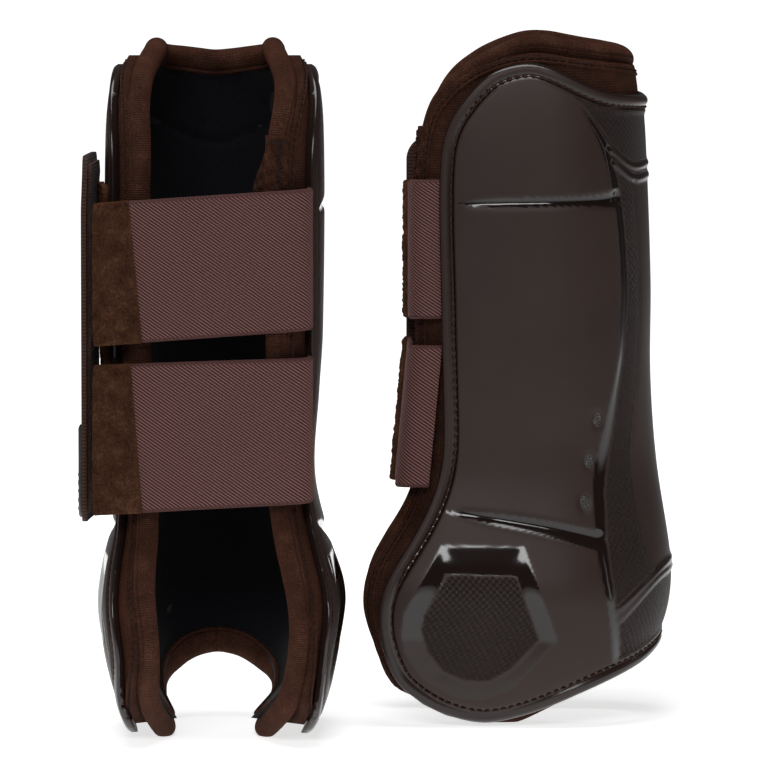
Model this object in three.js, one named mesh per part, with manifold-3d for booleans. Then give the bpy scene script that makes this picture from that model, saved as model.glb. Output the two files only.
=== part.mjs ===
// A pair of tendon boots for a horse's front legs, standing side by side. Millimetres, +Z up.
// Each boot is built in its own frame: +X is its medial side, +Y the front of the leg, +Z up the leg.
import * as THREE from 'three';
import { mergeVertices } from 'three/addons/utils/BufferGeometryUtils.js';
import Module from 'manifold-3d';

const wasm = await Module();
wasm.setup();

// Section of the shell's outer surface at each height: half-widths to each side, reach to front and rear.
const MEDIAL_REACH = profile([
  [0, 33], [10, 39.4], [21, 43.4], [46, 47.9], [57, 47.3], [74, 41.7], [97, 36.8],
  [127, 38.4], [150, 39.8], [219, 40.2], [243, 38], [260, 31],
]);
const LATERAL_REACH = profile([
  [0, 30], [17, 37.5], [33, 42], [48, 43.6], [63, 41.8], [80, 37.8], [104, 36.2],
  [127, 38.4], [150, 39.8], [219, 39.9], [243, 37.5], [260, 31],
]);
const FRONT_REACH = profile([
  [0, 35], [20, 40], [40, 47.4], [51, 49.3], [63, 49.1], [98, 43.8], [130, 41.5],
  [165, 41.5], [216, 39.6], [234, 38.2], [260, 35],
]);
const MEDIAL_REAR = profile([
  [0, 74], [25, 81], [45, 82], [57, 79], [67, 74], [81, 64], [95, 58.5], [110, 56.2], [146, 55.4],
  [223, 53.6], [240, 51], [260, 44],
]);
const LATERAL_REAR = profile([
  [0, 66], [25, 72], [43, 74], [55, 73.5], [67, 68], [81, 61], [104, 56.2], [146, 55.4],
  [223, 53.6], [240, 51], [260, 44],
]);
const FRONT_POWER = 2.3;
const REAR_POWER = 3.5;

// Outlines, as [angle round the leg in degrees, height]: 90 is the front, 0 the side, -90 the rear.
const SHELL_OUTLINE = {
  top: [[90, 234], [43, 235.7], [25, 239.1], [12, 243.4], [-4, 247.4], [-15, 247.4], [-28, 244.3],
    [-36, 238]],
  bottom: [[90, 29], [75, 27.7], [60, 24.5], [41, 20.5], [24, 15.9], [-3, 7.6], [-28, 2.8], [-38, 2.8],
    [-48, 7], [-55, 17]],
  medialRear: [[-55, 17], [-56.5, 33], [-55.8, 48], [-53, 67], [-50, 87], [-48, 110], [-47, 150],
    [-47.7, 205], [-45, 224], [-36, 238]],
  lateralRear: [[-55, 17], [-61, 31], [-60, 48], [-56, 67], [-51, 87], [-48.5, 110], [-47.5, 150],
    [-46.5, 205], [-44, 224], [-36, 238]],
};
const ROLL_OUTLINE = {
  top: [[90, 246.8], [65, 248.6], [45, 249.8], [20, 251.6], [0, 253.2], [-20, 252.8], [-38, 248.5],
    [-50, 240.5]],
  bottom: [[90, 30], [75, 28.3], [60, 23.8], [28, 17.5], [5, 12], [-18, 7], [-35, 4], [-49, 5],
    [-61, 14]],
  medialRear: [[-61, 14], [-62, 28], [-63, 45], [-63.5, 65], [-61.5, 90], [-61.5, 115], [-62, 146],
    [-61.5, 205], [-58.5, 227], [-50, 240.5]],
  lateralRear: [[-61, 14], [-68, 28], [-69.5, 45], [-66, 65], [-61, 90], [-58, 115], [-56.5, 146],
    [-56, 205], [-55, 226], [-50, 240.5]],
};

// Layers, as depths inwards from the shell's outer surface.
const SHELL_DEPTHS = [0, 2.6];
const LINER_DEPTHS = [3.6, 5.4];
const FOAM_DEPTHS = [6.1, 8.1];
const LINING_DEPTHS = [8.8, 9.8];
const LOOP_PATCH_DEPTHS = [-2.3, -0.8];
const ROLL_DEPTH = 7.1;
const ROLL_RADIUS = 3.75;
const ROLL_STEPS = 64;
const ROLL_SIDES = 6;
const PIPING_RADIUS = 0.7;
const PIPING_DEPTH = LINER_DEPTHS[0] - PIPING_RADIUS - 0.5;
const PIPING_INSET = 4.6;
const PIPING_LOWEST = 30;
const PIPING_STEPS = 44;
const PIPING_SIDES = 5;
const LINER_INSET = 5.4;
const FOAM_INSET = 6;
// How much further in the roll lies at the bottom and at the collar, by height, and its growth in front.
const MEDIAL_PINCH = profile([[0, 10], [8, 9.5], [20, 5], [35, 2], [50, 0], [228, 0], [240, 2], [252, 5.5]]);
const LATERAL_PINCH = profile([[0, 6.5], [12, 5.5], [30, 2.5], [50, 0], [228, 0], [240, 2], [252, 5.5]]);
const FRONT_PINCH = profile([[20, 1.2], [60, 0]]);
const DEEPEST_PINCH = 1.5;

const HALF_COLUMNS = 8;
const ROWS = 12;
const ROW_GATHER = 1.45;
// How many spans each curve of an outline is cut into, for the layers and for the roll.
const LAYER_SPANS = { bottom: 12, rear: 16, top: 10 };
const ROLL_SPANS = { bottom: 9, rear: 12, top: 7 };

// Mesh vents, as [distance forward, height] of their centres on each side.
const VENTS = [[19.5, 115.6], [16.4, 100.3], [14.8, 84.8]];
const VENT_HALF = [1.65, 2.9];
const VENT_GAP = 0.3;
const VENT_SIDES = 12;
const VENT_DEPTHS = [0.9, 2.1];
const VENT_CUT_DEPTHS = [-3, 6];

// Straps. Heights are [medial end, lateral end].
const STRAPS = [
  { name: 'upper', low: [153, 147], high: [204.5, 199], padStart: -30, lean: 0 },
  { name: 'lower', low: [90.5, 86], high: [143.2, 140.5], padStart: -30, lean: 5 },
];
const STRAP_Y = -49.7;
const ELASTIC_THICK = 2;
const PAD_THICK = 3;
const PAD_GAP = 0.4;
const STRAP_SEAM = [35.6, -41.3];
// The elastic turns the medial corner from its seam to here, pulled towards the corner point.
const STRAP_CORNER = [36.4, STRAP_Y];
const STRAP_TURNED = [27, STRAP_Y];
const STRAP_TURN_SPANS = 5;

const PANEL = { outer: -47.5, thick: 2, rear: -51, front: -7, low: 82.8, high: 216, corner: 9 };
const HOOK = { thick: 1.6, rear: -38, front: -10, low: 90, high: 209, corner: 3 };
const TAB = { thick: 1.9, rear: -32, front: -14, low: 82.4, high: 115.7, corner: 8.9 };
const PLATE_CORNER_SPANS = 5;
const FACE_GAP = 0.3;
const LOOP_PATCH = { forwardInset: 3, heightInset: 4, rows: 8, columns: 3 };
const ANCHOR = {
  inner: 15, outer: 27, low: 205.6, high: 223.5, face: -47.2, reach: -50.6, topThick: 1, footTall: 1.5,
};

// Places of the two boots before the pair is centred. The second stands turned a quarter turn,
// a little further back.
const BOOT_A = { at: [-60.7, -20, 0], turn: 0 };
const BOOT_B = { at: [61, 20, 0], turn: -Math.PI / 2 };

const COLOURS = {
  shell: 0x352d2b, jersey: 0x482e24, foam: 0x2a2a2c, lining: 0x08090d, elastic: 0x6e4a48,
  pile: 0x4b3428, rubber: 0x232426, mesh: 0x141212,
};

// A smooth curve through [height, value] points, flat beyond its ends.
function profile(points) {
  const slopes = points.map((point, i) => {
    const before = points[Math.max(i - 1, 0)];
    const after = points[Math.min(i + 1, points.length - 1)];
    return (after[1] - before[1]) / (after[0] - before[0]);
  });
  return (height) => {
    const z = THREE.MathUtils.clamp(height, points[0][0], points.at(-1)[0]);
    const i = Math.min(points.findLastIndex((point) => point[0] <= z), points.length - 2);
    const span = points[i + 1][0] - points[i][0];
    const t = (z - points[i][0]) / span;
    const rise = (1 - t) * (1 - t) * t * slopes[i] - t * t * (1 - t) * slopes[i + 1];
    const blend = t * t * (3 - 2 * t);
    return points[i][1] * (1 - blend) + points[i + 1][1] * blend + span * rise;
  };
}

// How far the section reaches to the front, or to the rear on one side.
function reachAlong(side, forward, height) {
  if (forward > 0) return FRONT_REACH(height);
  return (side > 0 ? MEDIAL_REAR : LATERAL_REAR)(height);
}

// How much a layer's depth grows across the boot, so that the padding fills in towards the bottom.
function pinch(side, turn, height, depth) {
  const share = (depth - SHELL_DEPTHS[1]) / (ROLL_DEPTH - SHELL_DEPTHS[1]);
  const forward = 1 + FRONT_PINCH(height) * Math.max(Math.sin(turn), 0);
  const most = (side > 0 ? MEDIAL_PINCH : LATERAL_PINCH)(height);
  return most * forward * THREE.MathUtils.clamp(share, 0, DEEPEST_PINCH);
}

// A point of the boot at an angle round the leg and a height, at a depth inside the shell's surface.
function surfacePoint(side, angle, height, depth) {
  const turn = THREE.MathUtils.degToRad(angle);
  const reach = (side > 0 ? MEDIAL_REACH : LATERAL_REACH)(height);
  const across = reach - depth - pinch(side, turn, height, depth);
  const along = reachAlong(side, angle, height) - depth;
  const power = angle > 0 ? FRONT_POWER : REAR_POWER;
  const sum = (Math.abs(Math.cos(turn)) / across) ** power + (Math.abs(Math.sin(turn)) / along) ** power;
  const radius = sum ** (-1 / power);
  return new THREE.Vector3(side * radius * Math.cos(turn), radius * Math.sin(turn), height);
}

// The angle at which the surface on one side reaches a distance forward.
function angleAt(side, forward, height) {
  const across = (side > 0 ? MEDIAL_REACH : LATERAL_REACH)(height);
  const along = reachAlong(side, forward, height);
  const power = forward > 0 ? FRONT_POWER : REAR_POWER;
  const share = 1 - (Math.abs(forward) / along) ** power;
  return THREE.MathUtils.radToDeg(Math.atan2(forward, across * share ** (1 / power)));
}

function outlineCurves(outline, side) {
  const curve = (points) => new THREE.SplineCurve(points.map((point) => new THREE.Vector2(...point)));
  const rear = side > 0 ? outline.medialRear : outline.lateralRear;
  return { top: curve(outline.top), rear: curve(rear), bottom: curve(outline.bottom) };
}

// One side's edge from the front bottom, round the lobe and up the rear, to the front top.
function sideEdge(outline, side, spans) {
  const { top, rear, bottom } = outlineCurves(outline, side);
  return [
    ...bottom.getSpacedPoints(spans.bottom),
    ...rear.getSpacedPoints(spans.rear).slice(1),
    ...top.getSpacedPoints(spans.top).reverse().slice(1),
  ];
}

// How far a point moves over the surface for each degree round the leg.
function perDegree(side, angle, height) {
  const ahead = surfacePoint(side, angle + 0.5, height, 0);
  return ahead.distanceTo(surfacePoint(side, angle - 0.5, height, 0));
}

// The same edge moved inwards over the surface.
function insetEdge(edge, side, distance) {
  return edge.map((point, i) => {
    const before = edge[Math.max(i - 1, 0)];
    const after = edge[Math.min(i + 1, edge.length - 1)];
    const scale = perDegree(side, point.x, point.y);
    const run = new THREE.Vector2((after.x - before.x) * scale, after.y - before.y).normalize();
    return new THREE.Vector2(point.x + run.y * distance / scale, point.y - run.x * distance);
  });
}

// The curves of one side's outline moved inwards, each with both its ends.
function insetCurves(outline, side, distance) {
  const edge = insetEdge(sideEdge(outline, side, LAYER_SPANS), side, distance);
  const { bottom, rear } = LAYER_SPANS;
  edge[0].x = 90;
  edge.at(-1).x = 90;
  const curve = (points) => new THREE.SplineCurve(points);
  return {
    bottom: curve(edge.slice(0, bottom + 1)),
    rear: curve(edge.slice(bottom, bottom + rear + 1)),
    top: curve(edge.slice(bottom + rear).reverse()),
  };
}

// A grid of [angle, height] points that fills one side's curves, from the front to the rear edge.
// Its rows are closer at the bottom, where the boot flares.
function sideGrid({ top, rear, bottom }) {
  const rows = [];
  for (let j = 0; j <= ROWS; j++) {
    const v = (j / ROWS) ** ROW_GATHER;
    const row = [];
    for (let i = 0; i <= HALF_COLUMNS; i++) {
      const w = i / HALF_COLUMNS;
      const front = bottom.getPoint(0).lerp(top.getPoint(0), v);
      const between = bottom.getPointAt(w).lerp(top.getPointAt(w), v);
      const across = front.clone().lerp(rear.getPointAt(v), w);
      const corners = front.clone().lerp(bottom.getPoint(1).lerp(top.getPoint(1), v), w);
      row.push(between.add(across).sub(corners));
    }
    rows.push(row);
  }
  return rows;
}

function geometryOf(positions, triangles) {
  const geometry = new THREE.BufferGeometry();
  geometry.setAttribute('position', new THREE.Float32BufferAttribute(positions, 3));
  geometry.setIndex(triangles);
  return geometry;
}

// A closed body between two grids of points with rows and columns alike. The first faces outwards.
function bodyBetween(outer, inner) {
  const rows = outer.length;
  const columns = outer[0].length;
  const at = (layer, j, k) => (layer * rows + j) * columns + k;
  const positions = [outer, inner].flat(2).flatMap((point) => point.toArray());
  const triangles = [];
  const quad = (a, b, c, d) => triangles.push(a, b, c, a, c, d);
  for (let j = 0; j + 1 < rows; j++) {
    for (let k = 0; k + 1 < columns; k++) {
      quad(at(0, j, k), at(0, j + 1, k), at(0, j + 1, k + 1), at(0, j, k + 1));
      quad(at(1, j, k), at(1, j, k + 1), at(1, j + 1, k + 1), at(1, j + 1, k));
    }
  }
  const rim = [];
  for (let j = 0; j < rows - 1; j++) rim.push([j, 0]);
  for (let k = 0; k < columns - 1; k++) rim.push([rows - 1, k]);
  for (let j = rows - 1; j > 0; j--) rim.push([j, columns - 1]);
  for (let k = columns - 1; k > 0; k--) rim.push([0, k]);
  rim.forEach(([j, k], i) => {
    const [nextJ, nextK] = rim[(i + 1) % rim.length];
    quad(at(0, nextJ, nextK), at(0, j, k), at(1, j, k), at(1, nextJ, nextK));
  });
  return geometryOf(positions, triangles);
}

// A layer of the boot over the front and both sides, between two depths.
function layer(curvesOf, depths) {
  const lateral = sideGrid(curvesOf(-1));
  const medial = sideGrid(curvesOf(1));
  const [outer, inner] = depths.map((depth) => medial.map((row, j) => [
    ...lateral[j].slice(1).reverse().map((point) => surfacePoint(-1, point.x, point.y, depth)),
    ...row.map((point) => surfacePoint(1, point.x, point.y, depth)),
  ]));
  return bodyBetween(outer, inner);
}

// Points along the roll's outline on one side, from the front bottom to the front top.
function rimPoints(side, inset, depth) {
  const edge = sideEdge(ROLL_OUTLINE, side, ROLL_SPANS);
  const moved = inset ? insetEdge(edge, side, inset) : edge;
  return moved.map((point) => surfacePoint(side, point.x, point.y, depth));
}

function edgeRoll() {
  const medial = rimPoints(1, 0, ROLL_DEPTH);
  const lateral = rimPoints(-1, 0, ROLL_DEPTH).reverse();
  const path = new THREE.CatmullRomCurve3([...medial, ...lateral.slice(1, -1)], true);
  return new THREE.TubeGeometry(path, ROLL_STEPS, ROLL_RADIUS, ROLL_SIDES, true);
}

// The piping runs up one rear edge, round the collar and down the other.
function piping() {
  const part = (side) => rimPoints(side, PIPING_INSET, PIPING_DEPTH)
    .filter((point, i) => i > ROLL_SPANS.bottom && point.z > PIPING_LOWEST);
  const path = new THREE.CatmullRomCurve3([...part(-1), ...part(1).reverse().slice(1)]);
  const round = new THREE.EllipseCurve(0, 0, PIPING_RADIUS, PIPING_RADIUS);
  const section = new THREE.Shape(round.getPoints(PIPING_SIDES).slice(0, PIPING_SIDES));
  return new THREE.ExtrudeGeometry(section, {
    steps: PIPING_STEPS, extrudePath: path, bevelEnabled: false,
  });
}

// An oval plate or cutter through the surface at a vent, between two depths.
function ventBody(side, [forward, height], growth, depths) {
  const angle = angleAt(side, forward, height);
  const centre = surfacePoint(side, angle, height, 0);
  const ahead = surfacePoint(side, angle + 1, height, 0).sub(surfacePoint(side, angle - 1, height, 0));
  const up = surfacePoint(side, angle, height + 1, 0).sub(surfacePoint(side, angle, height - 1, 0));
  const outward = ahead.clone().cross(up).normalize();
  if (outward.x * side < 0) outward.negate();
  const [halfWide, halfTall] = VENT_HALF.map((half) => half + growth);
  const oval = new THREE.EllipseCurve(0, 0, halfWide, halfTall).getPoints(VENT_SIDES).slice(0, VENT_SIDES);
  const geometry = new THREE.ExtrudeGeometry(new THREE.Shape(oval), {
    depth: depths[1] - depths[0], bevelEnabled: false,
  });
  const across = up.clone().normalize().cross(outward).normalize();
  const tall = outward.clone().cross(across);
  const frame = new THREE.Matrix4().makeBasis(across, tall, outward);
  frame.setPosition(centre.addScaledVector(outward, -depths[1]));
  return geometry.applyMatrix4(frame);
}

function toManifold(geometry) {
  const bare = geometry.clone();
  bare.deleteAttribute('normal');
  bare.deleteAttribute('uv');
  const merged = mergeVertices(bare, 1e-4);
  return new wasm.Manifold(new wasm.Mesh({
    numProp: 3,
    vertProperties: new Float32Array(merged.attributes.position.array),
    triVerts: new Uint32Array(merged.index.array),
  }));
}

function fromManifold(solid) {
  const mesh = solid.getMesh();
  return geometryOf(Array.from(mesh.vertProperties), Array.from(mesh.triVerts));
}

// The moulding, with a hole at each vent.
function shell() {
  let solid = toManifold(layer((side) => outlineCurves(SHELL_OUTLINE, side), SHELL_DEPTHS));
  for (const side of [-1, 1]) {
    for (const vent of VENTS) {
      solid = solid.subtract(toManifold(ventBody(side, vent, VENT_GAP, VENT_CUT_DEPTHS)));
    }
  }
  return fromManifold(solid);
}

// A patch that lies on the outside of the shell's lateral side.
function shellLoopPatch() {
  const { forwardInset, heightInset, rows, columns } = LOOP_PATCH;
  const grid = (depth) => Array.from({ length: rows + 1 }, (_, j) => {
    const height = THREE.MathUtils.lerp(HOOK.low + heightInset, HOOK.high - heightInset, j / rows);
    return Array.from({ length: columns + 1 }, (__, k) => {
      const forward = THREE.MathUtils.lerp(HOOK.rear + forwardInset, HOOK.front - forwardInset, k / columns);
      return surfacePoint(-1, angleAt(-1, forward, height), height, depth);
    });
  });
  return bodyBetween(grid(LOOP_PATCH_DEPTHS[0]), grid(LOOP_PATCH_DEPTHS[1]));
}

// A flat band that follows a plan path to the lateral side, its lower edge leaning out to the rear.
function band(plan, thick, strap) {
  const edges = [[edgeHeight(strap.low), strap.lean], [edgeHeight(strap.high), 0]];
  const run = (i) => {
    const before = plan[Math.max(i - 1, 0)];
    const after = plan[Math.min(i + 1, plan.length - 1)];
    return after.clone().sub(before).normalize();
  };
  const face = (offset) => edges.map(([heightAt, lean]) => plan.map((point, i) => {
    const along = run(i);
    const x = point.x - along.y * offset;
    return new THREE.Vector3(x, point.y + along.x * offset - lean, heightAt(point.x));
  }));
  return bodyBetween(face(thick / 2), face(-thick / 2));
}

// Height of a strap's edge at a place across the boot.
function edgeHeight([medial, lateral]) {
  const [from, to] = [STRAP_SEAM[0], PANEL.outer];
  return (x) => THREE.MathUtils.mapLinear(x, from, to, medial, lateral);
}

function elastic(strap) {
  const corner = new THREE.QuadraticBezierCurve(
    new THREE.Vector2(...STRAP_SEAM), new THREE.Vector2(...STRAP_CORNER), new THREE.Vector2(...STRAP_TURNED),
  ).getPoints(STRAP_TURN_SPANS);
  const plan = [...corner, new THREE.Vector2(strap.padStart, STRAP_Y)];
  return band(plan, ELASTIC_THICK, strap);
}

function loopPad(strap) {
  const end = PANEL.outer + PANEL.thick + PAD_GAP;
  const plan = [strap.padStart - PAD_GAP, end].map((x) => new THREE.Vector2(x, STRAP_Y));
  return band(plan, PAD_THICK, strap);
}

// A flat plate with rounded corners, upright along the boot's side, its outer face at one x.
function sidePlate({ rear, front, low, high, corner }, outerX, thick, squareTop = false) {
  const shape = new THREE.Shape();
  shape.moveTo(rear + corner, low);
  shape.lineTo(front - corner, low);
  shape.absarc(front - corner, low + corner, corner, -Math.PI / 2, 0);
  if (squareTop) {
    shape.lineTo(front, high);
    shape.lineTo(rear, high);
  } else {
    shape.absarc(front - corner, high - corner, corner, 0, Math.PI / 2);
    shape.absarc(rear + corner, high - corner, corner, Math.PI / 2, Math.PI);
  }
  shape.absarc(rear + corner, low + corner, corner, Math.PI, Math.PI * 1.5);
  const geometry = new THREE.ExtrudeGeometry(shape, {
    depth: thick, bevelEnabled: false, curveSegments: PLATE_CORNER_SPANS,
  });
  const frame = new THREE.Matrix4().makeBasis(
    new THREE.Vector3(0, 1, 0), new THREE.Vector3(0, 0, 1), new THREE.Vector3(1, 0, 0),
  );
  return geometry.applyMatrix4(frame.setPosition(outerX, 0, 0));
}

// The stitched wedge on the medial rear roll, just above the upper elastic.
function anchorPatch() {
  const shape = new THREE.Shape([
    new THREE.Vector2(ANCHOR.face, ANCHOR.low),
    new THREE.Vector2(ANCHOR.face, ANCHOR.high),
    new THREE.Vector2(ANCHOR.face - ANCHOR.topThick, ANCHOR.high),
    new THREE.Vector2(ANCHOR.reach, ANCHOR.low + ANCHOR.footTall),
    new THREE.Vector2(ANCHOR.reach, ANCHOR.low),
  ]);
  const geometry = new THREE.ExtrudeGeometry(shape, {
    depth: ANCHOR.outer - ANCHOR.inner, bevelEnabled: false,
  });
  const frame = new THREE.Matrix4().makeBasis(
    new THREE.Vector3(0, 1, 0), new THREE.Vector3(0, 0, 1), new THREE.Vector3(1, 0, 0),
  );
  return geometry.applyMatrix4(frame.setPosition(ANCHOR.inner, 0, 0));
}

// One boot: every piece as a named mesh in a group that stands at the boot's place.
function boot(prefix, { at, turn }) {
  const group = new THREE.Group();
  const add = (name, geometry, colour, roughness) => {
    const material = new THREE.MeshStandardMaterial({ color: COLOURS[colour], roughness, metalness: 0 });
    const mesh = new THREE.Mesh(geometry, material);
    mesh.name = `${prefix}_${name}`;
    group.add(mesh);
  };
  const soft = (side) => insetCurves(ROLL_OUTLINE, side, LINER_INSET);
  const core = (side) => insetCurves(ROLL_OUTLINE, side, FOAM_INSET);

  add('shell', shell(), 'shell', 0.5);
  add('padded_liner', layer(soft, LINER_DEPTHS), 'jersey', 0.9);
  add('foam_core', layer(core, FOAM_DEPTHS), 'foam', 0.9);
  add('lining', layer(soft, LINING_DEPTHS), 'lining', 0.95);
  add('edge_roll', edgeRoll(), 'jersey', 0.9);
  add('piping', piping(), 'jersey', 0.85);
  for (const [side, sideName] of [[1, 'medial'], [-1, 'lateral']]) {
    VENTS.forEach((vent, i) => {
      add(`${sideName}_vent_${i + 1}`, ventBody(side, vent, 0, VENT_DEPTHS), 'mesh', 0.6);
    });
  }

  for (const strap of STRAPS) {
    add(`${strap.name}_elastic`, elastic(strap), 'elastic', 0.85);
    add(`${strap.name}_loop_pad`, loopPad(strap), 'pile', 0.95);
  }
  const hookX = PANEL.outer + PANEL.thick + FACE_GAP;
  const tabX = PANEL.outer - FACE_GAP - TAB.thick;
  add('closure_panel', sidePlate(PANEL, PANEL.outer, PANEL.thick), 'jersey', 0.85);
  add('hook_patch', sidePlate(HOOK, hookX, HOOK.thick), 'rubber', 0.7);
  add('pull_tab', sidePlate(TAB, tabX, TAB.thick, true), 'rubber', 0.45);
  add('shell_loop_patch', shellLoopPatch(), 'pile', 0.95);
  add('anchor_patch', anchorPatch(), 'jersey', 0.85);

  group.position.set(...at);
  group.rotation.z = turn;
  return group;
}

const pair = new THREE.Group();
pair.add(boot('boot_a', BOOT_A), boot('boot_b', BOOT_B));

// The pair stands on the origin's plane, centred over the origin.
const box = new THREE.Box3().setFromObject(pair, true);
const centre = box.getCenter(new THREE.Vector3());
pair.position.set(-centre.x, -centre.y, -box.min.z);

export default pair;
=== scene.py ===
import math

import bpy
import numpy as np
from mathutils import Matrix, Vector
from mathutils.geometry import delaunay_2d_cdt


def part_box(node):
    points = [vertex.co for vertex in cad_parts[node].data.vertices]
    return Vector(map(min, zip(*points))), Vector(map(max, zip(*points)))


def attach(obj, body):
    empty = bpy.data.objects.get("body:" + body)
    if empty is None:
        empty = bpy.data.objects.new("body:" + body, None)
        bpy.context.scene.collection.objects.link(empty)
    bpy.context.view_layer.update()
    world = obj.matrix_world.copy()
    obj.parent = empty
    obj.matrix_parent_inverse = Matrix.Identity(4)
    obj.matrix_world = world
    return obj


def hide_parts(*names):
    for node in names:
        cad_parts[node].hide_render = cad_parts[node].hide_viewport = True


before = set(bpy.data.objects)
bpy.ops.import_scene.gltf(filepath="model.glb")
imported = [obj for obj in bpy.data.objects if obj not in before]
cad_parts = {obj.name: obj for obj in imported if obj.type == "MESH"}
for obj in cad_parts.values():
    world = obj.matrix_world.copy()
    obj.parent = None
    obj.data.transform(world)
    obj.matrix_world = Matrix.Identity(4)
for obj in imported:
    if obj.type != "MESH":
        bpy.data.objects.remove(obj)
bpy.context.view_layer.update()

MM = 0.001

# ---------------------------------------------------------------- the boot's section and outlines, mm
# +X is the boot's medial side, +Y the front of the leg, +Z up. Angles: 90 front, 0 side, -90 rear.


def profile(points):
    """A smooth curve through (height, value) points, flat beyond its ends."""
    heights, values = np.array(points, float).T
    before = np.maximum(np.arange(len(heights)) - 1, 0)
    after = np.minimum(np.arange(len(heights)) + 1, len(heights) - 1)
    slopes = (values[after] - values[before]) / (heights[after] - heights[before])

    def value(height):
        z = np.clip(height, heights[0], heights[-1])
        i = np.clip(np.searchsorted(heights, z, side="right") - 1, 0, len(heights) - 2)
        span = heights[i + 1] - heights[i]
        t = (z - heights[i]) / span
        rise = (1 - t) ** 2 * t * slopes[i] - t * t * (1 - t) * slopes[i + 1]
        blend = t * t * (3 - 2 * t)
        return values[i] * (1 - blend) + values[i + 1] * blend + span * rise

    return value


ACROSS = {
    1: profile([(0, 33), (10, 39.4), (21, 43.4), (46, 47.9), (57, 47.3), (74, 41.7), (97, 36.8),
                (127, 38.4), (150, 39.8), (219, 40.2), (243, 38), (260, 31)]),
    -1: profile([(0, 30), (17, 37.5), (33, 42), (48, 43.6), (63, 41.8), (80, 37.8), (104, 36.2),
                 (127, 38.4), (150, 39.8), (219, 39.9), (243, 37.5), (260, 31)]),
}
FRONT = profile([(0, 35), (20, 40), (40, 47.4), (51, 49.3), (63, 49.1), (98, 43.8), (130, 41.5),
                 (165, 41.5), (216, 39.6), (234, 38.2), (260, 35)])
REAR = {
    1: profile([(0, 74), (25, 81), (45, 82), (57, 79), (67, 74), (81, 64), (95, 58.5), (110, 56.2),
                (146, 55.4), (223, 53.6), (240, 51), (260, 44)]),
    -1: profile([(0, 66), (25, 72), (43, 74), (55, 73.5), (67, 68), (81, 61), (104, 56.2),
                 (146, 55.4), (223, 53.6), (240, 51), (260, 44)]),
}
FRONT_POWER = 2.3
REAR_POWER = 3.5

SHELL_OUTLINE = {
    "top": [(90, 234), (43, 235.7), (25, 239.1), (12, 243.4), (-4, 247.4), (-15, 247.4),
            (-28, 244.3), (-36, 238)],
    "bottom": [(90, 29), (75, 27.7), (60, 24.5), (41, 20.5), (24, 15.9), (-3, 7.6), (-28, 2.8), (-38, 2.8),
               (-48, 7), (-55, 17)],
    1: [(-55, 17), (-56.5, 33), (-55.8, 48), (-53, 67), (-50, 87), (-48, 110), (-47, 150),
        (-47.7, 205), (-45, 224), (-36, 238)],
    -1: [(-55, 17), (-61, 31), (-60, 48), (-56, 67), (-51, 87), (-48.5, 110), (-47.5, 150),
         (-46.5, 205), (-44, 224), (-36, 238)],
}
ROLL_OUTLINE = {
    "top": [(90, 246.8), (65, 248.6), (45, 249.8), (20, 251.6), (0, 253.2), (-20, 252.8),
            (-38, 248.5), (-50, 240.5)],
    "bottom": [(90, 30), (75, 28.3), (60, 23.8), (28, 17.5), (5, 12), (-18, 7), (-35, 4), (-49, 5),
               (-61, 14)],
    1: [(-61, 14), (-62, 28), (-63, 45), (-63.5, 65), (-61.5, 90), (-61.5, 115), (-62, 146),
        (-61.5, 205), (-58.5, 227), (-50, 240.5)],
    -1: [(-61, 14), (-68, 28), (-69.5, 45), (-66, 65), (-61, 90), (-58, 115), (-56.5, 146),
         (-56, 205), (-55, 226), (-50, 240.5)],
}
SHELL_THICK = 2.6
ROLL_DEPTH = 7.1
ROLL_RADIUS = 4.15
FLANGE_DEPTH = 3.1
LINING_DEPTHS = (8.8, 9.7)
SEAM_INSET = 4.5
# How much further in the roll lies at the bottom and at the collar, by height, and its growth in front.
PINCH = {
    1: profile([(0, 10), (8, 9.5), (20, 5), (35, 2), (50, 0), (228, 0), (240, 2), (252, 5.5)]),
    -1: profile([(0, 6.5), (12, 5.5), (30, 2.5), (50, 0), (228, 0), (240, 2), (252, 5.5)]),
}
FRONT_PINCH = profile([(20, 1.2), (60, 0)])
DEEPEST_PINCH = 1.5

STRAPS = {
    "upper": {"low": (153, 147), "high": (204.5, 199), "pad": (-25.3, -30.2), "lean": 0},
    "lower": {"low": (90.5, 86), "high": (143.2, 140.5), "pad": (-25.3, -29.5), "lean": 5},
}
STRAP_Y = -49.7
PAD_END = -43.4
SEAM = (35.6, -41.3)
PANEL = {"outer": -47.5, "rear": -51, "front": -7, "low": 82.8, "high": 216}
TAB = {"outer": -49.7, "rear": -32, "front": -14, "low": 82.4, "high": 115.7}


def reach_along(side, forward, height):
    return np.where(np.asarray(forward) > 0, FRONT(height), REAR[side](height))


def surface(side, angle, height, depth=0.0):
    """Points of the boot, in its own frame in mm, at a depth inside the shell's outer surface."""
    turn = np.radians(angle)
    deeper = np.clip((np.asarray(depth) - SHELL_THICK) / (ROLL_DEPTH - SHELL_THICK), 0, DEEPEST_PINCH)
    pinch = PINCH[side](height) * (1 + FRONT_PINCH(height) * np.maximum(np.sin(turn), 0))
    across = ACROSS[side](height) - depth - pinch * deeper
    along = reach_along(side, angle, height) - depth
    power = np.where(np.asarray(angle) > 0, FRONT_POWER, REAR_POWER)
    total = (np.abs(np.cos(turn)) / across) ** power + (np.abs(np.sin(turn)) / along) ** power
    radius = total ** (-1 / power)
    flat = np.broadcast_arrays(side * radius * np.cos(turn), radius * np.sin(turn), height)
    return np.stack(flat, axis=-1).astype(float)


def angle_at(side, forward, height):
    """The angle at which one side's outer surface reaches a distance forward."""
    forward = np.asarray(forward, float)
    power = np.where(forward > 0, FRONT_POWER, REAR_POWER)
    share = np.clip(1 - (np.abs(forward) / reach_along(side, forward, height)) ** power, 0, 1)
    return np.degrees(np.arctan2(forward, ACROSS[side](height) * share ** (1 / power)))


# How far round the surface each angle lies from the side, for every whole millimetre of height.
ARC_ANGLES = np.arange(-90, 90.01, 0.5)
ARC_HEIGHTS = np.arange(-5, 266.0)


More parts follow.
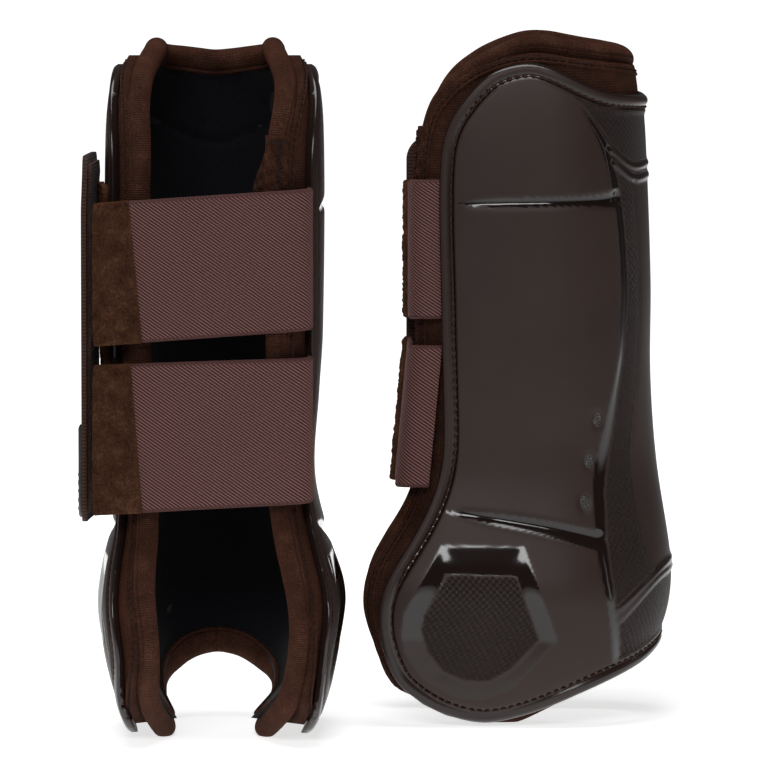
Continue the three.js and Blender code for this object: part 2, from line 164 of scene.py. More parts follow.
def arc_table(side):
    grid = surface(side, ARC_ANGLES[None, :], ARC_HEIGHTS[:, None])
    steps = np.linalg.norm(np.diff(grid, axis=1), axis=-1)
    run = np.concatenate([np.zeros((len(ARC_HEIGHTS), 1)), np.cumsum(steps, axis=1)], axis=1)
    return run - run[:, [np.searchsorted(ARC_ANGLES, 0)]]


ARCS = {side: arc_table(side) for side in (-1, 1)}


def arc(side, angle, height):
    """Distance over the surface from the boot's side, positive to the front."""
    row = np.clip(np.asarray(height, float) - ARC_HEIGHTS[0], 0, len(ARC_HEIGHTS) - 1.001)
    column = np.clip((np.asarray(angle, float) + 90) / 0.5, 0, len(ARC_ANGLES) - 1.001)
    j, i = row.astype(int), column.astype(int)
    v, w = row - j, column - i
    low = ARCS[side][j, i] * (1 - w) + ARCS[side][j, i + 1] * w
    high = ARCS[side][j + 1, i] * (1 - w) + ARCS[side][j + 1, i + 1] * w
    return low * (1 - v) + high * v


def angle_of(side, distance, height):
    """The angle at a distance over the surface from the boot's side."""
    rows = np.clip(np.round(np.asarray(height) - ARC_HEIGHTS[0]).astype(int), 0, len(ARC_HEIGHTS) - 1)
    table = ARCS[side]
    return np.array([np.interp(d, table[j], ARC_ANGLES) for d, j in zip(distance, rows)])


def spline(points, samples=40):
    """A dense Catmull-Rom curve through points."""
    p = np.array(points, float)
    ends = np.vstack([2 * p[0] - p[1], p, 2 * p[-1] - p[-2]])
    out = []
    for i in range(len(p) - 1):
        a, b, c, d = ends[i:i + 4]
        t = np.linspace(0, 1, samples, endpoint=False)[:, None]
        out.append(0.5 * (2 * b + (c - a) * t + (2 * a - 5 * b + 4 * c - d) * t ** 2
                          + (3 * b - a - 3 * c + d) * t ** 3))
    return np.vstack([*out, p[-1:]])


def spaced(line, shares):
    """Points at shares of a line's length."""
    steps = np.linalg.norm(np.diff(line, axis=0), axis=1)
    run = np.concatenate([[0], np.cumsum(steps)])
    at = np.asarray(shares) * run[-1]
    return np.stack([np.interp(at, run, line[:, k]) for k in range(line.shape[1])], axis=1)


def softened(line, passes):
    """A line with its points drawn towards their neighbours, its ends kept."""
    line = line.copy()
    for _ in range(passes):
        line[1:-1] = (line[:-2] + 2 * line[1:-1] + line[2:]) / 4
    return line


# How many spans the bottom, the rear and the top of one side are cut into, and how often corners soften.
EDGE_SPANS = (60, 120, 60)
CORNER_PASSES = 6


def side_edge(outline, side):
    """One side's edge in (distance round, height), from the front bottom to the front top."""
    parts = []
    for name, count, back in zip(("bottom", side, "top"), EDGE_SPANS, (1, 1, -1)):
        line = spline(outline[name])[::back]
        flat = np.stack([arc(side, line[:, 0], line[:, 1]), line[:, 1]], axis=1)
        parts.append(spaced(flat, np.linspace(0, 1, count + 1))[1 if parts else 0:])
    return softened(np.vstack(parts), CORNER_PASSES)


def inset(edge, distance):
    """The edge moved inwards over the surface."""
    run = np.gradient(edge, axis=0)
    run /= np.linalg.norm(run, axis=1, keepdims=True)
    run[0], run[-1] = (-1, 0), (1, 0)
    moved = edge + distance * np.stack([run[:, 1], -run[:, 0]], axis=1)
    moved[[0, -1], 0] = edge[[0, -1], 0]
    return moved


# Softening passes of a closed path for each squared point of it.
LOOP_SOFTNESS = 2.4e-5


def loop(outline, distance, depth, count=720):
    """A closed path round a whole outline, moved inwards and laid at a depth, mm."""
    halves = []
    for side in (1, -1):
        edge = inset(side_edge(outline, side), distance)
        angles = angle_of(side, edge[:, 0], edge[:, 1])
        angles[[0, -1]] = 90
        halves.append(surface(side, angles, edge[:, 1], depth))
    ring = np.vstack([halves[0], halves[1][::-1][1:]])
    ring = spaced(ring, np.linspace(0, 1, count, endpoint=False))
    passes = int(count ** 2 * LOOP_SOFTNESS)
    for _ in range(passes):
        ring = (np.roll(ring, 1, axis=0) + 2 * ring + np.roll(ring, -1, axis=0)) / 4
    return ring


def outward(points):
    """Unit normals of the boot's surface near points, from the section's own shape."""
    side_of = np.where(points[:, 0] >= 0, 1, -1)
    normals = np.zeros_like(points)
    for side in (1, -1):
        pick = side_of == side
        if not pick.any():
            continue
        p = points[pick]
        forward = p[:, 1]
        power = np.where(forward > 0, FRONT_POWER, REAR_POWER)
        across = ACROSS[side](p[:, 2])
        along = reach_along(side, forward, p[:, 2])
        nx = side * (np.abs(p[:, 0]) / across) ** (power - 1) / across
        ny = np.sign(forward) * (np.abs(forward) / along) ** (power - 1) / along
        normals[pick] = np.stack([nx, ny, np.zeros_like(nx)], axis=1)
    return normals / np.linalg.norm(normals, axis=1, keepdims=True)


# ---------------------------------------------------------------- placing pieces


def boot_matrix(name):
    """The boot's own frame in mm to the world in metres, from where its closure panel stands."""
    low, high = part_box(f"{name}_closure_panel")
    scale = Matrix.Scale(MM, 4)
    if name == "boot_a":
        at = Vector(low) - Vector((PANEL["outer"], PANEL["rear"], PANEL["low"])) * MM
        return Matrix.Translation(at) @ scale
    corner = Vector((PANEL["rear"], -PANEL["outer"], PANEL["low"])) * MM
    at = Vector((low[0], high[1], low[2])) - corner
    return Matrix.Translation(at) @ Matrix.Rotation(-math.pi / 2, 4, "Z") @ scale


MATRICES = {name: boot_matrix(name) for name in ("boot_a", "boot_b")}


def piece(boot, name, points, faces, material, body="", **attributes):
    """A mesh made from boot-frame points in mm, riding on one of the boot's bodies."""
    mesh = bpy.data.meshes.new(f"{boot}_{name}")
    matrix = np.array(MATRICES[boot])
    world = np.asarray(points, float) @ matrix[:3, :3].T + matrix[:3, 3]
    mesh.from_pydata(world.tolist(), [], [tuple(map(int, face)) for face in faces])
    for key, values in attributes.items():
        values = np.asarray(values, float)
        if values.ndim == 1:
            mesh.attributes.new(key, "FLOAT", "POINT").data.foreach_set("value", values)
        else:
            padded = np.zeros((len(values), 3))
            padded[:, :values.shape[1]] = values
            mesh.attributes.new(key, "FLOAT_VECTOR", "POINT").data.foreach_set("vector", padded.ravel())
    mesh.materials.append(material)
    mesh.polygons.foreach_set("use_smooth", [True] * len(mesh.polygons))
    mesh.update()
    made = bpy.data.objects.new(f"{boot}_{name}_look", mesh)
    bpy.context.scene.collection.objects.link(made)
    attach(made, boot + body)
    return made


def grid_faces(rows, columns, start=0, wrap_rows=False, wrap_columns=False, flip=False):
    """Quads over a grid of points: from the first row up and on to the next column, flip turns them over."""
    j = np.arange(rows if wrap_rows else rows - 1)
    k = np.arange(columns if wrap_columns else columns - 1)
    j, k = np.meshgrid(j, k, indexing="ij")
    up, on = (j + 1) % rows, (k + 1) % columns
    quads = np.stack([j * columns + k, up * columns + k, up * columns + on, j * columns + on], axis=-1)
    quads = quads.reshape(-1, 4) + start
    return quads[:, ::-1] if flip else quads


def rim_of(rows, columns):
    """The grid's border, in the order its outer faces run."""
    at = np.arange(rows * columns).reshape(rows, columns)
    return np.concatenate([at[:-1, 0], at[-1, :-1], at[:0:-1, -1], at[0, :0:-1]])


def closed_grid(outer, inner):
    """Points and faces of a body between two grids alike. The first faces outwards."""
    rows, columns = outer.shape[:2]
    count = rows * columns
    border = rim_of(rows, columns)
    onward = np.roll(border, -1)
    walls = np.stack([onward, border, border + count, onward + count], axis=1)
    faces = [*grid_faces(rows, columns), *grid_faces(rows, columns, count, flip=True), *walls]
    return np.vstack([outer.reshape(-1, 3), inner.reshape(-1, 3)]), faces


def sweep(path, normals, radius, sides=16, closed=True):
    """Points, faces and flat coordinates of a tube along a path."""
    count = len(path)
    ahead = np.roll(path, -1, axis=0) - np.roll(path, 1, axis=0)
    if not closed:
        ahead[0], ahead[-1] = path[1] - path[0], path[-1] - path[-2]
    ahead /= np.linalg.norm(ahead, axis=1, keepdims=True)
    out = normals - ahead * (normals * ahead).sum(axis=1, keepdims=True)
    out /= np.linalg.norm(out, axis=1, keepdims=True)
    across = np.cross(ahead, out)
    turn = np.linspace(0, 2 * math.pi, sides, endpoint=False)
    size = np.broadcast_to(np.asarray(radius, float).reshape(-1, 1), (count, sides))
    spokes = out[:, None] * np.cos(turn)[None, :, None] + across[:, None] * np.sin(turn)[None, :, None]
    rings = path[:, None] + spokes * size[..., None]
    run = np.concatenate([[0], np.cumsum(np.linalg.norm(np.diff(path, axis=0), axis=1))])
    around = turn * float(np.mean(radius))
    flats = np.stack(np.broadcast_arrays(run[:, None], around[None, :]), axis=-1).reshape(-1, 2)
    faces = list(grid_faces(count, sides, wrap_rows=closed, wrap_columns=True, flip=True))
    if not closed:
        faces += [tuple(range(sides)), tuple(range(count * sides - 1, (count - 1) * sides - 1, -1))]
    return rings.reshape(-1, 3), faces, flats


# ---------------------------------------------------------------- materials


def srgb(red, green, blue):
    return tuple((c / 255 / 12.92 if c / 255 <= 0.04045 else ((c / 255 + 0.055) / 1.055) ** 2.4)
                 for c in (red, green, blue)) + (1.0,)


class Look:
    """A material and short ways to add nodes to it. Lengths in its patterns are in mm."""

    def __init__(self, name, roughness=0.5, sheen=0.0, sheen_tint=None, specular=0.5):
        self.material = bpy.data.materials.new(name)
        self.material.use_nodes = True
        self.nodes = self.material.node_tree.nodes
        self.links = self.material.node_tree.links
        self.shader = self.nodes["Principled BSDF"]
        self.shader.inputs["Roughness"].default_value = roughness
        self.shader.inputs["Sheen Weight"].default_value = sheen
        self.shader.inputs["Specular IOR Level"].default_value = specular
        if sheen_tint:
            self.shader.inputs["Sheen Tint"].default_value = sheen_tint

    def node(self, kind, **values):
        made = self.nodes.new(f"ShaderNode{kind}")
        for key, value in values.items():
            if hasattr(made, key):
                setattr(made, key, value)
            else:
                self.feed(made.inputs[key.replace("_", " ")], value)
        return made

    def feed(self, socket, value):
        if hasattr(value, "is_output"):
            self.links.new(value, socket)
        else:
            socket.default_value = value

    def math(self, operation, a, b=0.0):
        made = self.node("Math", operation=operation)
        self.feed(made.inputs[0], a)
        self.feed(made.inputs[1], b)
        return made.outputs[0]

    def attribute(self, name, output="Vector"):
        return self.node("Attribute", attribute_name=name).outputs[output]

    def position(self):
        """The place on the object in mm."""
        place = self.node("TexCoord").outputs["Object"]
        scaled = self.node("VectorMath", operation="SCALE")
        self.feed(scaled.inputs[0], place)
        scaled.inputs["Scale"].default_value = 1 / MM
        return scaled.outputs[0]

    def turned(self, vector, degrees):
        made = self.node("Mapping")
        self.feed(made.inputs["Vector"], vector)
        made.inputs["Rotation"].default_value = (0, 0, math.radians(degrees))
        return made.outputs[0]

    def noise(self, vector, pitch, detail=3.0, roughness=0.6):
        made = self.node("TexNoise", Scale=1 / pitch, Detail=detail, Roughness=roughness)
        self.feed(made.inputs["Vector"], vector)
        return made.outputs[0]

    def bands(self, vector, pitch, distortion=0.0, direction="X"):
        """A wave across one direction, from 0 to 1, one wave to each pitch."""
        made = self.node("TexWave", bands_direction=direction, Scale=math.pi / 10 / pitch,
                         Distortion=distortion)
        self.feed(made.inputs["Vector"], vector)
        return made.outputs["Fac"]

    def ramp(self, factor, *stops):
        made = self.node("ValToRGB")
        self.feed(made.inputs[0], factor)
        elements = made.color_ramp.elements
        while len(elements) < len(stops):
            elements.new(0.5)
        for element, (place, colour) in zip(elements, stops):
            element.position = place
            element.color = colour
        return made.outputs[0]

    def mix(self, factor, a, b):
        made = self.node("Mix", data_type="RGBA")
        self.feed(made.inputs[0], factor)
        self.feed(made.inputs[6], a)
        self.feed(made.inputs[7], b)
        return made.outputs[2]

    def number(self, factor, low, high):
        made = self.node("MapRange")
        self.feed(made.inputs[0], factor)
        made.inputs[3].default_value = low
        made.inputs[4].default_value = high
        return made.outputs[0]

    def fade(self, value, start, end):
        """From 0 at the start to 1 at the end."""
        made = self.node("MapRange", interpolation_type="SMOOTHSTEP")
        self.feed(made.inputs[0], value)
        made.inputs[1].default_value = start
        made.inputs[2].default_value = end
        return made.outputs[0]

    def bump(self, height, depth):
        made = self.node("Bump", Distance=depth * MM)
        made.inputs["Strength"].default_value = 1.0
        self.feed(made.inputs["Height"], height)
        return made.outputs[0]

    def finish(self, colour=None, roughness=None, normal=None):
        for key, value in (("Base Color", colour), ("Roughness", roughness), ("Normal", normal)):
            if value is not None:
                self.feed(self.shader.inputs[key], value)
        return self.material


WEAVE_CELL = 1.3


def shell_look():
    look = Look("moulded_shell", specular=0.36)
    flat, place = look.attribute("flat"), look.position()
    gloss, grain = look.attribute("gloss", "Fac"), look.attribute("grain", "Fac")
    checker = look.node("TexChecker", Scale=1 / WEAVE_CELL)
    look.feed(checker.inputs["Vector"], flat)
    lying = look.bands(flat, WEAVE_CELL / 3, direction="Y")
    standing = look.bands(flat, WEAVE_CELL / 3)
    weave = look.mix(checker.outputs["Fac"], lying, standing)
    weave = look.math("POWER", look.node("SeparateColor", Color=weave).outputs[0], 0.5)
    stipple = look.noise(place, 0.28, 2.0)
    fine = look.math("MULTIPLY", look.math("SUBTRACT", 1.0, gloss), look.math("MULTIPLY", stipple, 0.07))
    height = look.math("ADD", look.math("MULTIPLY", weave, look.math("MULTIPLY", grain, 0.8)), fine)
    cloud = look.noise(place, 45, 3.0)
    matte = look.ramp(cloud, (0.3, srgb(43, 31, 28)), (0.7, srgb(51, 39, 35)))
    # Painted shade in the weave's hollows: where there is grain, its low parts are darkened towards a deep
    # brown.
    grooves = look.mix(look.math("MULTIPLY", grain, look.number(weave, 0.8, 0.0)), matte, srgb(17, 11, 9))
    colour = look.mix(gloss, grooves, srgb(22, 12, 10))
    rough = look.math("ADD", look.number(stipple, 0.44, 0.54), look.math("MULTIPLY", gloss, -0.40))
    look.feed(look.shader.inputs["Specular IOR Level"], look.number(gloss, 0.22, 0.5))
    return look.finish(colour, rough, look.bump(height, 0.42))


# The jersey's tints: painted shade for its hollows, its body, painted light for its crests, and painted shade
# for the gaps between its stitches.
JERSEY_TINTS = ((40, 22, 15), (67, 41, 30), (98, 64, 49), (34, 18, 12))
KNIT_PITCH = 0.8


# dark scales every tint down; the flange's copy uses it for painted shade.
def jersey_look(name, dark=1.0):
    look = Look(name, roughness=0.92, sheen=0.22, sheen_tint=srgb(150, 85, 60), specular=0.1)
    flat, place = look.attribute("flat"), look.position()
    ribs = look.bands(flat, KNIT_PITCH, 0.6)
    courses = look.bands(flat, KNIT_PITCH * 1.25, 0.8, "Y")
    fuzz = look.noise(place, 0.95, 5.0, 0.75)
    blotch = look.noise(place, 9, 3.0)
    hollow, body, crest, gap = (srgb(*(c * dark for c in tint)) for tint in JERSEY_TINTS)
    mottle = look.math("ADD", look.math("MULTIPLY", fuzz, 0.6), look.math("MULTIPLY", blotch, 0.4))
    # The mottle, which follows the bump's fuzz, runs from the hollows' painted shade to the crests' painted
    # light.
    base = look.ramp(mottle, (0.36, hollow), (0.52, body), (0.68, crest))
    knitted = look.math("MULTIPLY", ribs, look.number(courses, 0.6, 1.0))
    # Painted shade: the gaps between the stitches are darkened where the knit's bands are low.
    colour = look.mix(look.number(knitted, 0.6, 0.0), base, gap)
    knit_height = look.math("ADD", look.math("MULTIPLY", ribs, 0.5), look.math("MULTIPLY", courses, 0.3))
    height = look.math("ADD", knit_height, look.math("MULTIPLY", fuzz, 0.5))
    return look.finish(colour, None, look.bump(height, 0.42))


def lining_look():
    look = Look("lining_knit", roughness=0.95, sheen=0.08, specular=0.12)
    place = look.position()
    fuzz = look.noise(place, 0.7, 3.0)
    colour = look.ramp(fuzz, (0.3, srgb(5, 5, 8)), (0.75, srgb(15, 16, 22)))
    return look.finish(colour, None, look.bump(fuzz, 0.15))


def elastic_look():
    look = Look("elastic_webbing", roughness=0.8, sheen=0.2, sheen_tint=srgb(190, 135, 130), specular=0.18)
    flat, place = look.attribute("flat"), look.position()
    edge = look.attribute("edge", "Fac")
    slanted = look.turned(flat, -55)
    ribs = look.bands(slanted, 1.0)
    beads = look.bands(look.turned(flat, 30), 0.6, 0.3)
    fuzz = look.noise(place, 0.35, 3.0)
    selvedge = look.bands(flat, 0.55)
    twill = look.math("MULTIPLY", ribs, look.number(beads, 0.72, 1.0))
    weave = look.mix(edge, twill, look.math("MULTIPLY", selvedge, 0.6))
    shadow = look.ramp(look.math("ADD", weave, look.number(fuzz, -0.12, 0.12)),
                       (0.05, srgb(40, 20, 19)), (0.45, srgb(82, 52, 49)), (0.9, srgb(132, 96, 92)))
    cloud = look.noise(place, 30, 2.0)
    colour = look.mix(look.number(cloud, 0.0, 0.25), shadow, srgb(70, 46, 44))
    return look.finish(colour, None, look.bump(weave, 0.22))


def pile_look():
    look = Look("loop_pile", roughness=1.0, sheen=0.35, sheen_tint=srgb(160, 105, 75), specular=0.05)
    place = look.position()
    tufts = look.noise(place, 0.8, 4.0, 0.75)
    patches = look.noise(place, 5.5, 3.0)
    both = look.math("ADD", look.math("MULTIPLY", tufts, 0.55), look.math("MULTIPLY", patches, 0.45))
    colour = look.ramp(both, (0.33, srgb(30, 15, 10)), (0.52, srgb(66, 42, 30)), (0.70, srgb(100, 70, 54)))
    return look.finish(colour, None, look.bump(tufts, 0.9))


def webbing_look(name, tint, pitch=1.3, depth=0.1):
    look = Look(name, roughness=0.85, sheen=0.08, specular=0.1)
    flat, place = look.attribute("flat"), look.position()
    ribs = look.bands(flat, pitch, 0.4, "Y")
    fuzz = look.noise(place, 0.4, 3.0)
    dark, mid, light = (srgb(*(c * k for c in tint)) for k in (0.65, 1.0, 1.25))
    tone = look.math("ADD", look.math("MULTIPLY", ribs, 0.7), look.math("MULTIPLY", fuzz, 0.35))
    colour = look.ramp(tone, (0.1, dark), (0.55, mid), (0.95, light))
    height = look.math("ADD", ribs, look.math("MULTIPLY", fuzz, 0.3))
    return look.finish(colour, None, look.bump(height, depth))


def rubber_look():
    look = Look("tab_rubber", roughness=0.42, specular=0.45)
    place = look.position()
    grain = look.noise(place, 0.25, 2.0)
    cloud = look.noise(place, 12, 2.0)
    colour = look.ramp(cloud, (0.3, srgb(30, 29, 31)), (0.7, srgb(44, 43, 46)))
    return look.finish(colour, look.number(grain, 0.36, 0.5), look.bump(grain, 0.05))


def vent_look():
    look = Look("vent_mesh", roughness=0.3, specular=0.5)
    flat = look.attribute("flat")
    cells = look.node("TexVoronoi", Scale=1 / 0.62)
    look.feed(cells.inputs["Vector"], flat)
    # Painted shade: the mesh's openings are painted near black, standing for the shade inside them.
    hole = look.ramp(cells.outputs["Distance"], (0.22, (0.002, 0.002, 0.002, 1)), (0.45, srgb(46, 41, 38)))
    return look.finish(hole, None, look.bump(cells.outputs["Distance"], 0.3))


def thread_look(name, tint):
    look = Look(name, roughness=0.85, sheen=0.05, specular=0.1)
    flat, place = look.attribute("flat"), look.position()
    twist = look.bands(look.turned(flat, 40), 0.35, 0.3)
    fuzz = look.noise(place, 0.3, 2.0)
    dark, light = (srgb(*(c * k for c in tint)) for k in (0.55, 1.35))
    tone = look.math("ADD", look.math("MULTIPLY", twist, 0.6), look.math("MULTIPLY", fuzz, 0.4))
    colour = look.ramp(tone, (0.2, dark), (0.8, light))
    return look.finish(colour, None, look.bump(twist, 0.06))


def foam_look():
    look = Look("foam", roughness=0.95, specular=0.15)
    cells = look.noise(look.position(), 0.8, 3.0)
    colour = look.ramp(cells, (0.35, srgb(28, 28, 30)), (0.7, srgb(52, 52, 55)))
    return look.finish(colour, None, look.bump(cells, 0.2))


LOOKS = {
    "shell": shell_look(),
    "roll": jersey_look("jersey_roll"),
    # The flange's jersey is the roll's, painted darker by 0.85 as painted shade where it lies between the
    # shell's edge and the roll.
    "flange": jersey_look("jersey_flange_painted_shade", 0.85),
    "bead": jersey_look("jersey_bead", 0.95),
    "lining": lining_look(),
    "elastic": elastic_look(),
    "pile": pile_look(),
    "panel": webbing_look("panel_webbing", (58, 39, 32)),
    "hook": webbing_look("hook_tape", (66, 38, 28), 1.1, 0.15),
    "rubber": rubber_look(),
    "vent": vent_look(),
    "thread": thread_look("seam_thread", (36, 19, 14)),
    "groove_thread": thread_look("groove_thread", (60, 37, 28)),
    "foam": foam_look(),
}

# ---------------------------------------------------------------- the shell's relief, mm
# Lines are (forward, height) on each side; both sides have the same relief.

SWOOSH_REAR = [(12.4, 232.7), (18.4, 220.9), (22.2, 210.2), (25.7, 193.9), (28, 167.6), (27.3, 143.9),
               (26.2, 133.6), (22.2, 115.1), (19, 102.1), (17.7, 91.8), (18.4, 75.1), (19, 68.5),
               (23.3, 44.8), (25, 26.6)]
SWOOSH_FRONT = [(12.4, 232.7), (23.3, 219.6), (26.3, 210.2), (29.5, 193.5), (31.5, 167.6), (30.6, 143.9),
                (26.9, 117.3), (23.2, 93.6), (22.9, 83.3), (24.1, 65.5), (27, 47), (28.4, 38.5),
                (28.8, 28)]
STRIP_LINE = [(33.3, 206.5), (34.4, 202.8), (36, 183.9), (36.8, 165), (36.5, 151), (35.8, 133.6),
              (34, 112.9), (33.2, 104.3), (33.7, 93.6), (36.2, 78.8), (40, 63.3), (41.1, 60.7)]
UPPER_RIBS = [[(22.9, 217.2), (32.8, 209), (39.9, 209)], [(24.4, 212), (33.3, 204.5), (40.2, 204.5)]]
LOWER_RIBS = [[(26.3, 43.7), (41.8, 57.2), (48, 61), (49.6, 61.5)],
              [(27, 40.1), (41.8, 54.4), (48, 58), (49.6, 58.4)]]
SLITS = [
    {"middle": [(-32.8, 195.9), (0, 196.4), (20, 196.8), (27, 197.3)],
     "half": [(0, 0), (0.12, 1.4), (0.3, 1.9), (0.75, 1.9), (0.88, 2.4), (1, 3.2)]},
    {"middle": [(-37.4, 81.9), (-5, 76.7), (10, 73.6), (20, 71)],
     "half": [(0, 0), (0.12, 1.3), (0.35, 2.5), (0.7, 3.3), (1, 3.6)]},
]
HEXAGON_OUTER = [(-38.4, 69.9), (-7.6, 69.5), (4.8, 34.5), (-11.5, 16.4), (-22.8, 11.8), (-32.7, 12.5),
                 (-44.8, 19.2), (-51.8, 29.2), (-53.3, 36.3), (-52.2, 44.8)]
HEXAGON_INNER = [(-37.7, 59.1), (-11.1, 58.5), (-2, 34.8), (-13, 23.5), (-21.5, 18.6), (-31, 18.8),
                 (-39.5, 22.5), (-45.5, 30), (-47.6, 38), (-46.6, 43.5)]
VENTS = [(19.5, 115.6), (16.4, 100.3), (14.8, 84.8)]
RIM_WIDTH = 3.5
GROOVE_WIDTH = 2.1
GROOVE_DEPTH = 1.0


def smooth(low, high, value):
    t = np.clip((value - low) / (high - low), 0, 1)
    return t * t * (3 - 2 * t)


def unrolled(side, line):
    line = np.array(line, float)
    angle = angle_at(side, line[:, 0], line[:, 1])
    return np.stack([arc(side, angle, line[:, 1]), line[:, 1]], axis=1)


def to_line(points, line, closed=False):
    """Signed distance to a line, positive on its left, and the share along it of the nearest point."""
    a = line if closed else line[:-1]
    b = np.roll(line, -1, axis=0) if closed else line[1:]
    lengths = np.linalg.norm(b - a, axis=1)
    start = np.concatenate([[0], np.cumsum(lengths)])
    best = np.full(len(points), 1e9)
    sign, share = np.ones(len(points)), np.zeros(len(points))
    for i, (p, q, length) in enumerate(zip(a, b, lengths)):
        if length < 1e-9:
            continue
        along = (q - p) / length
        off = points - p
        t = np.clip(off @ along, 0, length)
        away = np.linalg.norm(off - t[:, None] * along, axis=1)
        nearer = away < best - 1e-9
        best = np.where(nearer, away, best)
        turn = along[0] * off[:, 1] - along[1] * off[:, 0]
        sign = np.where(nearer, np.where(turn >= 0, 1, -1), sign)
        share = np.where(nearer, (start[i] + t) / start[-1], share)
    return best * sign, share


def within(points, polygon):
    """True for points inside a polygon."""
    x, y = points.T
    inside = np.zeros(len(points), bool)
    for (x0, y0), (x1, y1) in zip(polygon, np.roll(polygon, -1, axis=0)):
        crosses = (y0 > y) != (y1 > y)
        cut = x0 + (y - y0) * (x1 - x0) / np.where(y1 == y0, 1e-9, y1 - y0)
        inside ^= crosses & (x < cut)
    return inside


def relief(side, flat, edge_distance):
    """Height of the moulding over its plain surface, and how glossy and how textured it is."""
    lift = np.zeros(len(flat))
    gloss = np.zeros(len(flat))
    grain = np.zeros(len(flat))

    # Both lines run downwards, so what lies forward of them is on their left.
    rear, _ = to_line(flat, unrolled(side, spline(SWOOSH_REAR, 6)))
    front, _ = to_line(flat, unrolled(side, spline(SWOOSH_FRONT, 6)))
    below_tip = smooth(233, 226, flat[:, 1])
    across = np.clip(np.maximum(rear, 0) / (np.abs(rear) + np.abs(front) + 1e-6), 0, 1)
    across = np.where(front > 0, 1, across)
    lift -= 1.5 * smooth(0, 1, across) * below_tip
    gloss = np.maximum(gloss, smooth(-0.2, 0.5, rear) * smooth(0.2, -0.5, front) * below_tip)

    strip, along = to_line(flat, unrolled(side, spline(STRIP_LINE, 6)))
    fade = smooth(0, 0.03, along) * smooth(1, 0.97, along)
    lift -= 0.7 * smooth(0.9, 0.2, np.abs(strip)) * fade
    in_strip = (strip > 0) & (flat[:, 1] < 204.5) & (flat[:, 1] > 60)
    grain = np.maximum(grain, smooth(0.4, 1.2, front) * (1 - in_strip))
    for ribs in (UPPER_RIBS, LOWER_RIBS):
        for rib in ribs:
            off, along = to_line(flat, unrolled(side, spline(rib, 5)))
            shape = np.exp(-(off / 0.85) ** 2) * smooth(0, 0.06, along)
            lift += 1.0 * shape
            near = smooth(2.4, 1.6, np.abs(off)) * smooth(0, 0.04, along)
            gloss = np.maximum(gloss, 0.55 * near)
            grain *= 1 - near

    for slit in SLITS:
        off, along = to_line(flat, unrolled(side, spline(slit["middle"], 8)))
        half = np.interp(along, *np.array(slit["half"]).T)
        hollow = 1 - np.clip(off / np.maximum(half, 0.05), -1, 1) ** 2
        lift -= hollow * np.minimum(half * 0.9, 2.0)
        gloss = np.maximum(gloss, smooth(0, 0.2, hollow))

    outer, inner = unrolled(side, HEXAGON_OUTER), unrolled(side, HEXAGON_INNER)
    to_outer = np.where(within(flat, outer), 1, -1) * np.abs(to_line(flat, outer, True)[0])
    to_inner = np.where(within(flat, inner), 1, -1) * np.abs(to_line(flat, inner, True)[0])
    slope = np.where(to_outer <= 0, 0, np.where(to_inner >= 0, 1, to_outer / (to_outer - to_inner + 1e-6)))
    lift -= 2.0 * slope
    wall = smooth(-0.3, 0.4, to_outer) * smooth(0.3, -0.4, to_inner)
    upper = smooth(33, 36, flat[:, 1])
    gloss = np.maximum(gloss, wall * (0.45 + 0.55 * upper))
    grain = np.maximum(grain, smooth(0.4, 1.0, to_inner))

    for forward, height in VENTS:
        centre = unrolled(side, [(forward, height)])[0]
        oval = np.hypot((flat[:, 0] - centre[0]) / 1.9, (flat[:, 1] - height) / 3.2)
        lift -= 0.9 * smooth(1.12, 0.9, oval)

    inner_edge = RIM_WIDTH + GROOVE_WIDTH
    groove = smooth(RIM_WIDTH - 0.35, RIM_WIDTH + 0.35, edge_distance)
    groove *= smooth(inner_edge + 0.5, inner_edge - 0.3, edge_distance)
    keep = smooth(inner_edge - 0.2, inner_edge + 1.2, edge_distance)
    lift = lift * keep - GROOVE_DEPTH * groove
    gloss = np.maximum(gloss * keep, 0.85 * groove)
    grain = grain * keep
    lower_rim = smooth(60, 20, flat[:, 1]) * smooth(RIM_WIDTH + 0.3, RIM_WIDTH - 0.4, edge_distance)
    gloss = np.maximum(gloss, 0.6 * lower_rim)
    gloss = np.maximum(gloss, 0.75 * smooth(1.5, 0.9, edge_distance))
    lift += 0.3 * smooth(RIM_WIDTH + 0.3, RIM_WIDTH - 0.7, edge_distance)
    lift -= 1.3 * (1 - np.sqrt(np.clip(1 - (1 - np.clip(edge_distance / 1.3, 0, 1)) ** 2, 0, 1)))
    return lift, gloss, grain


def gathered(count, fine, length):
    """Shares from 0 to 1 for one side's columns, closer over the last `fine` of the length."""
    t = np.linspace(0, 1, 400)
    density = 1 + 1.6 * smooth(1 - fine * 1.5 / length, 1 - fine / length, t)
    run = np.concatenate([[0], np.cumsum((density[1:] + density[:-1]) / 2)])
    return np.interp(np.linspace(0, run[-1], count), run, t)


def side_grid(outline, side, ws, vs, distance=0.0):
    """(angle, height) points that fill one side of an outline, from the front to the rear edge."""
    edge = inset(side_edge(outline, side), distance) if distance else side_edge(outline, side)
    angles = angle_of(side, edge[:, 0], edge[:, 1])
    angles[[0, -1]] = 90
    both = np.stack([angles, edge[:, 1]], axis=1)
    low_corner = EDGE_SPANS[0]
    high_corner = low_corner + EDGE_SPANS[1]
    bottom, rear, top = both[:low_corner + 1], both[low_corner:high_corner + 1], both[high_corner:][::-1]
    b, t, r = spaced(bottom, ws), spaced(top, ws), spaced(rear, vs)
    front = b[0] + (t[0] - b[0]) * vs[:, None]
    v, w = vs[:, None, None], ws[None, :, None]
    between = b[None] * (1 - v) + t[None] * v
    across = front[:, None] * (1 - w) + r[:, None] * w
    corners = (front[:, None] * (1 - w) + (b[-1] * (1 - v) + t[-1] * v) * w)
    return between + across - corners


